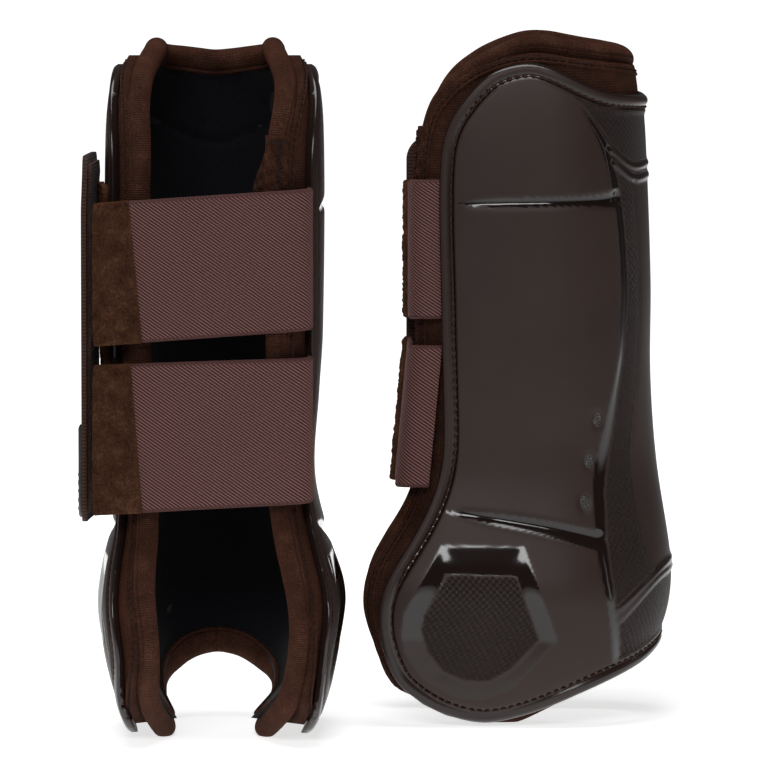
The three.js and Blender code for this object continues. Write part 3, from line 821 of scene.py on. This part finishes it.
def whole_grid(outline, ws, vs, distance=0.0):
    """Both sides' grids as one: the side of each point and its (angle, height)."""
    lateral = side_grid(outline, -1, ws, vs, distance)[:, :0:-1]
    medial = side_grid(outline, 1, ws, vs, distance)
    sides = np.concatenate([np.full(lateral.shape[:2], -1), np.full(medial.shape[:2], 1)], axis=1)
    return sides, np.concatenate([lateral, medial], axis=1)


def lay(sides, grid, depth):
    """Places of grid points at a depth, which may differ from point to point."""
    out = np.zeros(grid.shape[:2] + (3,))
    depth = np.broadcast_to(depth, sides.shape)
    for side in (-1, 1):
        pick = sides == side
        out[pick] = surface(side, grid[pick][:, 0], grid[pick][:, 1], depth[pick])
    return out


def flats_of(sides, grid):
    """Distance round from the front and height of grid points, for patterns."""
    flat = np.zeros(grid.shape)
    for side in (-1, 1):
        pick = sides == side
        angle, height = grid[pick].T
        flat[pick] = np.stack([side * (arc(side, 90 + 0 * angle, height) - arc(side, angle, height)), height],
                              axis=1)
    return flat


SHELL_GRID = ((300, 152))
SHELL_INNER_DEPTH = 2.7
# How far the shell's rows gather at both ends, and over how much of its columns' length they gather.
END_GATHER = 0.28
EDGE_GATHER = (8, 95)
BACK_STEP = 12
LIFT_PASSES = 2


def stand_in(boot, name, points, faces, look, slot, body="", **attributes):
    """A piece that takes the place of the CAD node of the same name."""
    made = piece(boot, name, points, faces, LOOKS[look], body, **attributes)
    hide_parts(f"{boot}_{name}")
    return made


def trim(boot, name, points, faces, look, flat):
    """A fine piece that the CAD doesn't have."""
    made = piece(boot, name, points, faces, LOOKS[look], flat=flat)


def twice(flat):
    """A grid's pattern coordinates, for both of its faces."""
    return np.vstack([flat.reshape(-1, 2)] * 2)


def shell_relief(sides, grid):
    """Lift, gloss and grain at each point of the shell's grid."""
    lift, gloss, grain = (np.zeros(sides.shape) for _ in range(3))
    for side in (-1, 1):
        pick = sides == side
        angle, height = grid[pick].T
        flat = np.stack([arc(side, angle, height), height], axis=1)
        edge_distance = np.abs(to_line(flat, side_edge(SHELL_OUTLINE, side))[0])
        lift[pick], gloss[pick], grain[pick] = relief(side, flat, edge_distance)
    for _ in range(LIFT_PASSES):
        lift[1:-1] = (lift[:-2] + 2 * lift[1:-1] + lift[2:]) / 4
        lift[:, 1:-1] = (lift[:, :-2] + 2 * lift[:, 1:-1] + lift[:, 2:]) / 4
    return lift, gloss, grain


def shell_back(border, shape, flat):
    """The grid points that the sparse inner face uses, and the triangles between them."""
    every = np.arange(shape[0] * shape[1]).reshape(shape)
    spots = every[BACK_STEP:-BACK_STEP:BACK_STEP, BACK_STEP:-BACK_STEP:BACK_STEP].ravel()
    chosen = np.concatenate([border, spots])
    ring = len(border)
    edges = [(i, (i + 1) % ring) for i in range(ring)]
    corners = [Vector(place) for place in flat[chosen]]
    return chosen, delaunay_2d_cdt(corners, edges, [], 1, 1e-6)[2]


def make_shell(boot):
    """The moulding: a fine outer face with its relief, and a plain inner face."""
    rows, columns = SHELL_GRID
    even = np.linspace(0, 1, rows)
    both_ends = 0.5 - 0.5 * np.cos(math.pi * even)
    vs = even * (1 - END_GATHER) + both_ends * END_GATHER
    sides, grid = whole_grid(SHELL_OUTLINE, gathered(columns, *EDGE_GATHER), vs)
    lift, gloss, grain = shell_relief(sides, grid)
    outer = lay(sides, grid, -lift)
    flat = flats_of(sides, grid).reshape(-1, 2)
    border = rim_of(*sides.shape)
    chosen, triangles = shell_back(border, sides.shape, flat)
    inner = lay(sides, grid, SHELL_INNER_DEPTH).reshape(-1, 3)[chosen]
    count = sides.size
    back = [tuple(count + i for i in triangle) for triangle in triangles]
    ring = np.arange(len(border))
    walls = [(border[b], border[a], count + a, count + b) for a, b in zip(ring, np.roll(ring, -1))]
    points = np.vstack([outer.reshape(-1, 3), inner])
    faces = [*grid_faces(*sides.shape), *walls, *back]
    none = np.zeros(len(chosen))
    stand_in(boot, "shell", points, faces, "shell", "moulded_shell", flat=np.vstack([flat, flat[chosen]]),
             gloss=np.append(gloss, none), grain=np.append(grain, none))


# ---------------------------------------------------------------- liner, roll and seams

SOFT_GRID = (150, 70)
FLANGE_INSET = 2.6
FLANGE_INNER_DEPTH = 5.6
LINING_INSET = 2.8
# The soft crease below the collar: its height, how far it dips in front and over what width, and its size.
CREASE = {"height": 226, "dip": 9, "spread": 22, "depth": 0.9, "half": 1.3, "ends": (62, 40)}
ROLL_STEPS = 1100
ROLL_SIDES = 28
# Soft folds over the roll, as waves round the whole boot and their size.
ROLL_FOLDS = ((11, 0.06), (29, 0.042), (61, 0.024), (97, 0.0144))
FOLD_SEED = 11
STITCH_SEED = 3
STITCH_POINTS = 7
STITCH_SIDES = 6


def soft_grid(distance):
    rows, columns = SOFT_GRID
    return whole_grid(ROLL_OUTLINE, np.linspace(0, 1, columns), np.linspace(0, 1, rows), distance)


def make_flange(boot):
    """The jersey-faced liner. It shows between the shell's edge and the roll."""
    sides, grid = soft_grid(FLANGE_INSET)
    flat = flats_of(sides, grid)
    swell = 0.1 * np.sin(flat[..., 1] * 0.35 + flat[..., 0] * 0.2) * np.sin(flat[..., 0] * 0.13 + 1)
    outer = lay(sides, grid, FLANGE_DEPTH - swell)
    points, faces = closed_grid(outer, lay(sides, grid, FLANGE_INNER_DEPTH))
    made = stand_in(boot, "padded_liner", points, faces, "flange", "jersey", flat=twice(flat))


def make_lining(boot):
    """The dark knit against the leg, with a soft crease below the collar."""
    sides, grid = soft_grid(LINING_INSET)
    flat = flats_of(sides, grid)
    crease_at = CREASE["height"] - CREASE["dip"] * np.exp(-(flat[..., 0] / CREASE["spread"]) ** 2)
    crease = CREASE["depth"] * np.exp(-((flat[..., 1] - crease_at) / CREASE["half"]) ** 2)
    crease *= smooth(*CREASE["ends"], np.abs(flat[..., 0]))
    ripple = 0.25 * np.sin(flat[..., 0] * 0.21) * np.sin(flat[..., 1] * 0.09 + 1)
    outer = lay(sides, grid, LINING_DEPTHS[0])
    inner = lay(sides, grid, LINING_DEPTHS[1] + ripple - crease)
    points, faces = closed_grid(outer, inner)
    made = stand_in(boot, "lining", points, faces, "lining", "lining_knit", flat=twice(flat))


def roll_folds(run, around):
    """Small soft folds over the roll, mm. run goes once round the boot, from 0 to 1."""
    random = np.random.default_rng(FOLD_SEED)
    total = np.zeros(np.broadcast(run, around).shape)
    for waves, size in ROLL_FOLDS:
        phase, lean = random.uniform(0, 6.28), random.integers(1, 3)
        total = total + size * np.sin(2 * math.pi * waves * run + lean * around + phase)
    return total


def make_roll(boot):
    """The padded roll round the whole edge."""
    path = loop(ROLL_OUTLINE, 0, ROLL_DEPTH, ROLL_STEPS)
    run = np.linspace(0, 1, ROLL_STEPS)[:, None]
    turn = np.linspace(0, 2 * math.pi, ROLL_SIDES, endpoint=False)[None, :]
    size = ROLL_RADIUS + roll_folds(run, turn)
    points, faces, flats = sweep(path, outward(path), np.full(ROLL_STEPS, 1.0), ROLL_SIDES)
    centre = np.repeat(path, ROLL_SIDES, axis=0)
    points = centre + (points - centre) * size.reshape(-1, 1)
    flats[:, 1] *= ROLL_RADIUS
    made = stand_in(boot, "edge_roll", points, faces, "roll", "jersey", flat=flats)


def bead(inset_by, depth, radius):
    """Points, faces and pattern coordinates of a thin bead beside the roll."""
    path = loop(ROLL_OUTLINE, inset_by, depth, 900)
    return sweep(path, outward(path), np.full(len(path), radius), 10)


def make_bead(boot):
    """The piped ridge beside the roll's seam."""
    points, faces, flats = bead(SEAM_INSET + 0.9, FLANGE_DEPTH - 0.15, 0.62)
    stand_in(boot, "piping", points, faces, "bead", "jersey", flat=flats)


def stitched(path, normals, pitch, radius, rise, gap=0.28, waver=0.2):
    """Separate stitches along a path, each a short arched thread, as one mesh."""
    steps = np.linalg.norm(np.diff(path, axis=0), axis=1)
    run = np.concatenate([[0], np.cumsum(steps)])
    random = np.random.default_rng(STITCH_SEED)
    arch = np.sin(np.linspace(0, math.pi, STITCH_POINTS))[:, None]
    points, faces, flats = [], [], []
    total = 0
    for i in range(int(run[-1] / pitch)):
        t = np.linspace(i * pitch + pitch * gap / 2, (i + 1) * pitch - pitch * gap / 2, STITCH_POINTS)
        at = np.stack([np.interp(t, run, path[:, k]) for k in range(3)], axis=1)
        up = np.stack([np.interp(t, run, normals[:, k]) for k in range(3)], axis=1)
        side = np.cross(np.gradient(at, axis=0), up)
        side /= np.linalg.norm(side, axis=1, keepdims=True)
        lean = random.uniform(-waver, waver) * np.linspace(-1, 1, STITCH_POINTS)[:, None]
        at = at + up * rise * (arch - 0.45) + side * lean
        places, quads, flat = sweep(at, up, radius * (0.55 + 0.45 * arch[:, 0]), STITCH_SIDES, closed=False)
        faces += [tuple(int(corner) + total for corner in quad) for quad in quads]
        points.append(places)
        flats.append(flat)
        total += len(places)
    return np.vstack(points), faces, np.vstack(flats)


def make_seams(boot):
    """Stitching beside the roll, inside and out, and the thread in the shell's groove."""
    path = loop(ROLL_OUTLINE, SEAM_INSET - 0.35, FLANGE_DEPTH - 0.1, 1400)
    points, faces, flats = stitched(path, outward(path), 2.9, 0.3, 0.5)
    trim(boot, "roll_stitches", points, faces, "thread", flats)
    path = loop(ROLL_OUTLINE, 5.4, LINING_DEPTHS[1] + 0.15, 1200)
    points, faces, flats = stitched(path, -outward(path), 3.2, 0.25, 0.4)
    trim(boot, "lining_stitches", points, faces, "thread", flats)
    path = loop(SHELL_OUTLINE, RIM_WIDTH + GROOVE_WIDTH / 2, 0.75, 1600)
    points, faces, flats = stitched(path, outward(path), 3.0, 0.36, 0.4, gap=0.14, waver=0.3)
    trim(boot, "shell_stitches", points, faces, "groove_thread", flats)
    points, faces, flats = bead(4.3, LINING_DEPTHS[1] + 0.1, 0.7)
    trim(boot, "collar_bead", points, faces, "bead", flats)


# ---------------------------------------------------------------- straps and closure

# The elastic starts in the seam, turns the medial corner and runs straight on under the loop pad.
TUCKED = [(34.7, -38.2), (35.3, -40.2)]
CORNER = (36.4, STRAP_Y)
TURNED = (27, STRAP_Y)
UNDER_PAD = 1.5
ELASTIC_THICK = 1.7
ELASTIC_GRID = (70, 110)
ELASTIC_PASSES = 3
ELASTIC_SAG = 0.5
SAG_SPAN = 52
PAD_THICK = 3.0
PAD_GRID = (160, 64)
PAD_SEEDS = {"upper": 17, "lower": 29}
HUMP_CELLS = 6
HUMP_PASSES = 4


def edge_height(ends, x):
    return np.interp(x, [PANEL["outer"], SEAM[0]], [ends[1], ends[0]])


def strap_grid(plan, strap, thick, rows):
    """Outer and inner grids of a band that follows a plan line from the medial to the lateral side."""
    run = np.gradient(plan, axis=0)
    run /= np.linalg.norm(run, axis=1, keepdims=True)
    side = np.stack([-run[:, 1], run[:, 0]], axis=1)
    share = np.linspace(0, 1, rows)[:, None]
    low, high = edge_height(strap["low"], plan[:, 0]), edge_height(strap["high"], plan[:, 0])
    height = low[None] * (1 - share) + high[None] * share
    lean = strap["lean"] * (1 - share)
    edge = np.minimum(share, 1 - share) * (high - low)[None]
    half = thick / 2 * np.sqrt(np.clip(1 - (1 - np.clip(edge / (thick * 0.6), 0.02, 1)) ** 2, 0, 1))
    grids = []
    for sign in (1, -1):
        x = plan[None, :, 0] + sign * side[None, :, 0] * half
        y = plan[None, :, 1] + sign * side[None, :, 1] * half - lean
        grids.append(np.stack(np.broadcast_arrays(x, y, height), axis=-1))
    steps = np.concatenate([[0], np.cumsum(np.linalg.norm(np.diff(plan, axis=0), axis=1))])
    flat = np.stack(np.broadcast_arrays(-steps[None], height), axis=-1)
    return grids[0], grids[1], flat, edge


def bezier(points, count):
    a, b, c = (np.array(point, float) for point in points)
    t = np.linspace(0, 1, count)[:, None]
    return (1 - t) ** 2 * a + 2 * t * (1 - t) * b + t * t * c


def make_elastic(boot, name, strap):
    """A flat elastic band, stretched from the medial seam to its loop pad."""
    far_end = min(strap["pad"]) - UNDER_PAD
    straight = np.stack([np.linspace(TURNED[0], far_end, 50), np.full(50, STRAP_Y)], axis=1)[1:]
    plan = np.vstack([TUCKED, bezier([SEAM, CORNER, TURNED], 16), straight])
    rows, columns = ELASTIC_GRID
    plan = softened(spaced(plan, np.linspace(0, 1, columns)), ELASTIC_PASSES)
    outer, inner, flat, edge = strap_grid(plan, strap, ELASTIC_THICK, rows)
    sag = ELASTIC_SAG * np.sin(np.clip((TURNED[0] - outer[..., 0]) / SAG_SPAN, 0, 1) * math.pi)
    for grid in (outer, inner):
        grid[..., 1] += sag
    points, faces = closed_grid(outer, inner)
    selvedge = np.tile(smooth(1.3, 0.9, np.broadcast_to(edge, outer.shape[:2])).ravel(), 2)
    made = stand_in(boot, f"{name}_elastic", points, faces, "elastic", "elastic", "_straps",
                    flat=twice(flat), edge=selvedge)


def pad_tufts(name):
    """Fine tufts and wider humps over a loop pad."""
    rows, columns = PAD_GRID
    random = np.random.default_rng(PAD_SEEDS[name])
    tufts = random.normal(0, 1, (rows, columns))
    tufts = 0.4 * (tufts + np.roll(tufts, 1, 0) + np.roll(tufts, 1, 1) + np.roll(tufts, -1, 0))
    humps = random.normal(0, 1, (rows // HUMP_CELLS + 2, columns // HUMP_CELLS + 2))
    humps = np.kron(humps, np.ones((HUMP_CELLS, HUMP_CELLS)))[:rows, :columns]
    for _ in range(HUMP_PASSES):
        beside = np.roll(humps, 1, 1) + np.roll(humps, -1, 1)
        humps = (humps + np.roll(humps, 1, 0) + np.roll(humps, -1, 0) + beside) / 5
    return 0.16 * tufts + 0.28 * humps


def make_loop_pad(boot, name, strap):
    """A thick fuzzy pad, its outer face displaced into tufts."""
    rows, columns = PAD_GRID
    along = np.linspace(0, 1, columns)
    up = np.linspace(0, 1, rows)[:, None]
    plan = np.stack([PAD_END + (max(strap["pad"]) - PAD_END) * (1 - along),
                     STRAP_Y - 0.9 + 0.9 * smooth(0.5, 1.0, along)], axis=1)
    outer, inner, flat, _ = strap_grid(plan, strap, PAD_THICK, rows)
    slant = (strap["pad"][1] - strap["pad"][0]) * up * (1 - along)[None]
    end_curve = 0.8 * (1 - np.sqrt(np.clip(1 - (2 * up - 1) ** 6, 0, 1))) * along[None]
    for grid in (outer, inner):
        grid[..., 0] += slant + end_curve
    soft_start = smooth(0, 0.05, along)[None]
    outer[..., 1] += 1.0 * (1 - soft_start) - pad_tufts(name) * soft_start
    points, faces = closed_grid(outer, inner)
    stand_in(boot, f"{name}_loop_pad", points, faces, "pile", "loop_pile", "_straps", flat=twice(flat))


# The panel's flat size in metres.
PANEL_THICK = 1.7
PANEL_CORNER = 9
HOOK = {"rear": -46, "front": -10, "low": 86, "high": 213, "corner": 5, "in": 1.9, "thick": 0.9}
HOOK_RIDGE = 0.12
HOOK_PITCH = 5.2
TAB_CORNER = 8.9
TAB_GRIP_TOP = 100
TAB_PITCH = 3.2
TAB_RIDGE = 0.35
PATCH = {"rear": -35, "front": -10, "low": 94, "high": 205, "corner": 4, "depths": (-2.5, -0.2), "fuzz": 0.12}
PATCH_SEED = 5


def plate(forwards, heights, x_of, thick):
    """Outer and inner grids of a plate along the lateral side. x_of gives its outer face."""
    outer = np.stack([x_of(forwards, heights), forwards, heights], axis=-1)[:, ::-1]
    return outer, outer + np.array([thick, 0, 0])


def rounded_rows(rear, front, low, high, corner, rows, columns, square_top=False):
    """A grid of (forward, height) points that fills a rectangle with rounded corners."""
    v = np.linspace(0, 1, rows)
    heights = low + (high - low) * (0.5 - 0.5 * np.cos(v * math.pi))
    near = np.minimum(heights - low, math.inf if square_top else high - heights)
    pull = corner - np.sqrt(np.clip(corner ** 2 - (corner - np.clip(near, 0, corner)) ** 2, 0, None))
    w = np.linspace(0, 1, columns)[None, :]
    forwards = (rear + pull)[:, None] * (1 - w) + (front - pull)[:, None] * w
    return forwards, np.broadcast_to(heights[:, None], forwards.shape)


def panel_x(forward, height):
    """The closure panel leans in to the shell at its front and curls out a little at its rear top."""
    along = (forward - PANEL["rear"]) / (PANEL["front"] - PANEL["rear"])
    return PANEL["outer"] + 2.4 * smooth(0.1, 1.0, along) + 0.5 * smooth(195, 212, height)


def make_panel(boot):
    """The webbing panel on the shell's lateral side."""
    size = (PANEL["rear"], PANEL["front"], PANEL["low"], PANEL["high"])
    forwards, heights = rounded_rows(*size, PANEL_CORNER, 110, 40)
    outer, inner = plate(forwards, heights, panel_x, PANEL_THICK)
    points, faces = closed_grid(outer, inner)
    made = stand_in(boot, "closure_panel", points, faces, "panel", "panel_webbing", "_panel",
                    flat=twice(outer[..., 1:]))


def make_hook(boot):
    """The hook tape on the panel's inner face."""
    size = (HOOK["rear"], HOOK["front"], HOOK["low"], HOOK["high"], HOOK["corner"])
    forwards, heights = rounded_rows(*size, 100, 30)
    outer, inner = plate(forwards, heights, lambda f, h: panel_x(f, h) + HOOK["in"], HOOK["thick"])
    wave = np.sin(inner[..., 2] * 2 * math.pi / HOOK_PITCH + inner[..., 1] * 0.5)
    inner[..., 0] += HOOK_RIDGE * (0.5 + 0.5 * wave)
    points, faces = closed_grid(outer, inner)
    stand_in(boot, "hook_patch", points, faces, "hook", "hook_tape", "_panel", flat=twice(outer[..., 1:]))


def make_tab(boot):
    """The rubber pull tab, with grip ridges across its lower half."""
    size = (TAB["rear"], TAB["front"], TAB["low"], TAB["high"])
    forwards, heights = rounded_rows(*size, TAB_CORNER, 60, 24, square_top=True)
    inside = np.minimum.reduce([heights - size[2], forwards - forwards[:, :1], forwards[:, -1:] - forwards])
    wave = np.sin((heights - 82) * 2 * math.pi / TAB_PITCH)
    ridges = TAB_RIDGE * smooth(0.2, 0.8, wave) * smooth(2.0, 3.2, inside) * (heights < TAB_GRIP_TOP)
    crown = 0.5 * (1 - smooth(0, 1.1, inside))
    outer, inner = plate(forwards, heights, lambda f, h: TAB["outer"] + crown - ridges + 0.3, 1.6)
    inner[..., 0] = TAB["outer"] + 1.95
    points, faces = closed_grid(outer, inner)
    stand_in(boot, "pull_tab", points, faces, "rubber", "tab_rubber", "_panel", flat=twice(outer[..., 1:]))


def make_shell_loop_patch(boot):
    """The loop pile on the shell that the hook tape grips."""
    size = (PATCH["rear"], PATCH["front"], PATCH["low"], PATCH["high"], PATCH["corner"])
    forwards, heights = rounded_rows(*size, 110, 24)
    angles = angle_at(-1, forwards, heights)
    fuzz = PATCH["fuzz"] * np.random.default_rng(PATCH_SEED).normal(0, 1, heights.shape)
    outer = surface(-1, angles, heights, PATCH["depths"][0] + fuzz)
    inner = surface(-1, angles, heights, PATCH["depths"][1])
    points, faces = closed_grid(outer, inner)
    flat = np.stack([forwards, heights], axis=-1)
    stand_in(boot, "shell_loop_patch", points, faces, "pile", "loop_pile", flat=twice(flat))


# ---------------------------------------------------------------- vents and the anchor patch

VENT_HALF = (1.75, 3.0)
VENT_RINGS = 9
VENT_SIDES = 28
VENT_SEAT = 0.75
VENT_BACK = 0.5


def ring_of_quads(ring, count, reverse):
    """Quads from a ring of points to the same ring of the layer below it."""
    onward = np.roll(ring, -1)
    quads = np.stack([ring, onward, onward + count, ring + count], axis=1)
    return list(quads[:, ::-1] if reverse else quads)


def make_vent(boot, side, name, forward, height):
    """A domed oval of mesh with a raised rim, set into its hole in the shell."""
    angle = float(angle_at(side, forward, height))
    centre = surface(side, angle, height, VENT_SEAT)
    ahead = surface(side, angle + 1, height) - surface(side, angle - 1, height)
    up = surface(side, angle, height + 1) - surface(side, angle, height - 1)
    ahead, up = ahead / np.linalg.norm(ahead), up / np.linalg.norm(up)
    out = np.cross(ahead, up) * side
    r = np.linspace(0.02, 1, VENT_RINGS)[:, None]
    t = np.linspace(0, 2 * math.pi, VENT_SIDES, endpoint=False)[None, :]
    x, y = VENT_HALF[0] * r * np.cos(t), VENT_HALF[1] * r * np.sin(t)
    lift = 0.55 * smooth(0.80, 0.92, r) - 0.5 * smooth(0.96, 1.02, r) + 0.25 * (1 - r ** 2)
    lift = lift + 0.16 * np.sin(x * 6.5) * np.sin(y * 6.5) * (r < 0.8)
    plane = centre + x[..., None] * ahead + y[..., None] * up
    front, back = plane + lift[..., None] * out, plane - VENT_BACK * out
    points = np.vstack([front.reshape(-1, 3), back.reshape(-1, 3)])
    count = VENT_RINGS * VENT_SIDES
    faces = list(grid_faces(VENT_RINGS, VENT_SIDES, wrap_columns=True, flip=side > 0))
    faces += list(grid_faces(VENT_RINGS, VENT_SIDES, count, wrap_columns=True, flip=side < 0))
    faces += ring_of_quads(np.arange(count - VENT_SIDES, count), count, reverse=side < 0)
    faces += ring_of_quads(np.arange(VENT_SIDES), count, reverse=side > 0)
    stand_in(boot, name, points, faces, "vent", "vent_mesh", flat=twice(np.stack([x, y], axis=-1)))


def make_vents(boot):
    for side, side_name in ((1, "medial"), (-1, "lateral")):
        for i, place in enumerate(VENTS):
            make_vent(boot, side, f"{side_name}_vent_{i + 1}", *place)


# The patch wraps the medial roll, whose centre is at ROLL_AT in plan there.
ANCHOR = {"low": 201, "tall": 22.5, "inner": 19.3, "outer": 28.3, "spread": 4.5, "thick": 1.5}
ROLL_AT = (23.3, -42.3)
WRAP_HALF = 4.6
WRAP_REACH = 4.7
WRAP_FOOT = 1.9
THREAD_OUT = 0.4
THREAD_RADIUS = 0.2


def wrapped(x, reach):
    """How far to the rear a cover over the roll lies at a place across it."""
    off = np.clip((x - ROLL_AT[0]) / WRAP_HALF, -0.98, 0.98)
    return ROLL_AT[1] - reach * np.sqrt(1 - off ** 2)


def zigzag(share, turns):
    """A wave of straight lines from -1 to 1."""
    return 2 * (2 * np.abs((share * turns) % 1 - 0.5) - 0.5)


def make_anchor(boot):
    """The gathered patch over the medial roll that the upper elastic is sewn to, with its zigzag thread."""
    v = np.linspace(0, 1, 60)[:, None]
    w = np.linspace(0, 1, 36)[None, :]
    height = ANCHOR["low"] + ANCHOR["tall"] * v
    left = ANCHOR["inner"] - ANCHOR["spread"] * smooth(0.85, 0.1, v)
    x = left + (ANCHOR["outer"] - left) * w
    y = wrapped(x, WRAP_REACH) - WRAP_FOOT * smooth(1.0, 0.0, v) * (1 - 0.4 * w)
    folds = 0.4 * np.sin(x * 2.1 + height * 0.9) + 0.3 * np.sin(height * 1.3 - x * 0.8)
    y = y - folds * smooth(0, 0.15, v) * smooth(1, 0.85, v)
    outer = np.stack(np.broadcast_arrays(x, y, height), axis=-1)[:, ::-1]
    points, faces = closed_grid(outer, outer + np.array([0, ANCHOR["thick"], 0]))
    made = stand_in(boot, "anchor_patch", points, faces, "bead", "jersey", flat=twice(outer[..., [0, 2]]))

    t = np.linspace(0, 1, 160)
    threads = {
        "anchor_zigzag": (24.3 + 1.1 * zigzag(t, 8) + 0.35 * np.sin(t * 17), 205 + 15 * t),
        "anchor_top_zigzag": (19.6 + 7.6 * t, 221 + 0.9 * zigzag(t, 6)),
    }
    for name, (x, z) in threads.items():
        share = (z - ANCHOR["low"]) / ANCHOR["tall"]
        y = wrapped(x, WRAP_REACH + THREAD_OUT) - 0.8 * WRAP_FOOT * smooth(1.0, 0.0, share)
        path = np.stack([x, y, z], axis=1)
        normals = np.broadcast_to(np.array([0.0, -1.0, 0.0]), path.shape)
        points, faces, flats = sweep(path, normals, np.full(len(t), THREAD_RADIUS), 8, closed=False)
        trim(boot, name, points, faces, "thread", flats)


def make_boot(boot):
    make_shell(boot)
    make_flange(boot)
    make_lining(boot)
    make_roll(boot)
    make_bead(boot)
    make_seams(boot)
    for name, strap in STRAPS.items():
        make_elastic(boot, name, strap)
        make_loop_pad(boot, name, strap)
    make_panel(boot)
    make_hook(boot)
    make_tab(boot)
    make_shell_loop_patch(boot)
    make_vents(boot)
    make_anchor(boot)
    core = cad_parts[f"{boot}_foam_core"]
    core.data.materials.clear()
    core.data.materials.append(LOOKS["foam"])


for boot in ("boot_a", "boot_b"):
    make_boot(boot)

# ---------------------------------------------------------------- stage, lights and camera


# The dim room's light, and the lit strip of floor under and behind the boots: its half-width and ends.
ROOM = 0.07
FLOOR_HALF = 40.0
SWEEP = {"half": 0.55, "near": -0.22, "far": 8.0, "light": 0.70, "far_light": 1.05}


def make_stage():
    look = Look("floor", roughness=0.9, specular=0.1)
    look.shader.inputs["Emission Color"].default_value = (1, 1, 1, 1)
    place = look.node("SeparateXYZ", Vector=look.node("TexCoord").outputs["Object"])
    edges = (("Y", SWEEP["near"] - 0.3, SWEEP["near"]), ("Y", SWEEP["far"] + 4, SWEEP["far"]))
    lit = look.fade(look.math("ABSOLUTE", place.outputs["X"]), SWEEP["half"] + 0.5, SWEEP["half"])
    for axis, start, end in edges:
        lit = look.math("MULTIPLY", lit, look.fade(place.outputs[axis], start, end))
    further = look.fade(place.outputs["Y"], 0.1, 0.8)
    light = look.number(further, SWEEP["light"], SWEEP["far_light"])
    look.feed(look.shader.inputs["Emission Strength"], look.math("MULTIPLY", lit, light))
    tone = look.noise(look.position(), 400, 2.0)
    look.finish(look.ramp(tone, (0.3, (0.86, 0.86, 0.86, 1)), (0.7, (0.9, 0.9, 0.9, 1))))
    mesh = bpy.data.meshes.new("floor")
    corners = [(x * FLOOR_HALF, y * FLOOR_HALF, 0) for x, y in ((-1, -1), (1, -1), (1, 1), (-1, 1))]
    mesh.from_pydata(corners, [], [(0, 1, 2, 3)])
    mesh.materials.append(look.material)
    floor = bpy.data.objects.new("floor", mesh)
    bpy.context.scene.collection.objects.link(floor)
    world = bpy.data.worlds.new("studio")
    bpy.context.scene.world = world
    world.use_nodes = True
    world.node_tree.nodes["Background"].inputs["Color"].default_value = (1, 1, 1, 1)
    world.node_tree.nodes["Background"].inputs["Strength"].default_value = ROOM


def area_light(name, place, target, size, power):
    data = bpy.data.lights.new(name, "AREA")
    data.shape = "RECTANGLE"
    data.size, data.size_y = size
    data.energy = power
    light = bpy.data.objects.new(name, data)
    light.location = place
    light.rotation_mode = "QUATERNION"
    light.rotation_quaternion = (Vector(target) - Vector(place)).to_track_quat("-Z", "Y")
    bpy.context.scene.collection.objects.link(light)


def make_lights():
    middle = (0, 0, 0.13)
    area_light("top_softbox", (-0.1, -0.15, 1.25), middle, (0.8, 0.5), 8.5)
    area_light("key_softbox", (-0.25, -1.7, 1.0), middle, (0.8, 0.6), 14)
    area_light("left_strip", (-1.1, -0.1, 0.35), middle, (0.1, 1.2), 0.4)
    area_light("right_strip", (1.15, 0.0, 0.35), middle, (0.08, 1.2), 0.3)


# The camera's distance, the height it aims at and the width it sees there, in metres, and its elevation.
CAMERA = {"distance": 3.0, "aim": 0.1285, "field": 0.2812, "elevation": 5}


def make_camera():
    elevation = math.radians(CAMERA["elevation"])
    distance = CAMERA["distance"]
    target = Vector((0, 0, CAMERA["aim"]))
    data = bpy.data.cameras.new("camera")
    data.sensor_width = 36
    data.lens = data.sensor_width * distance / CAMERA["field"]
    data.clip_start = 0.05
    camera = bpy.data.objects.new("camera", data)
    back = Vector((0, -math.cos(elevation), math.sin(elevation)))
    camera.location = target + back * distance
    camera.rotation_mode = "QUATERNION"
    camera.rotation_quaternion = (-back).to_track_quat("-Z", "Y")
    bpy.context.scene.collection.objects.link(camera)
    bpy.context.scene.camera = camera


make_stage()
make_lights()
make_camera()
bpy.context.scene.view_settings.view_transform = "Standard"
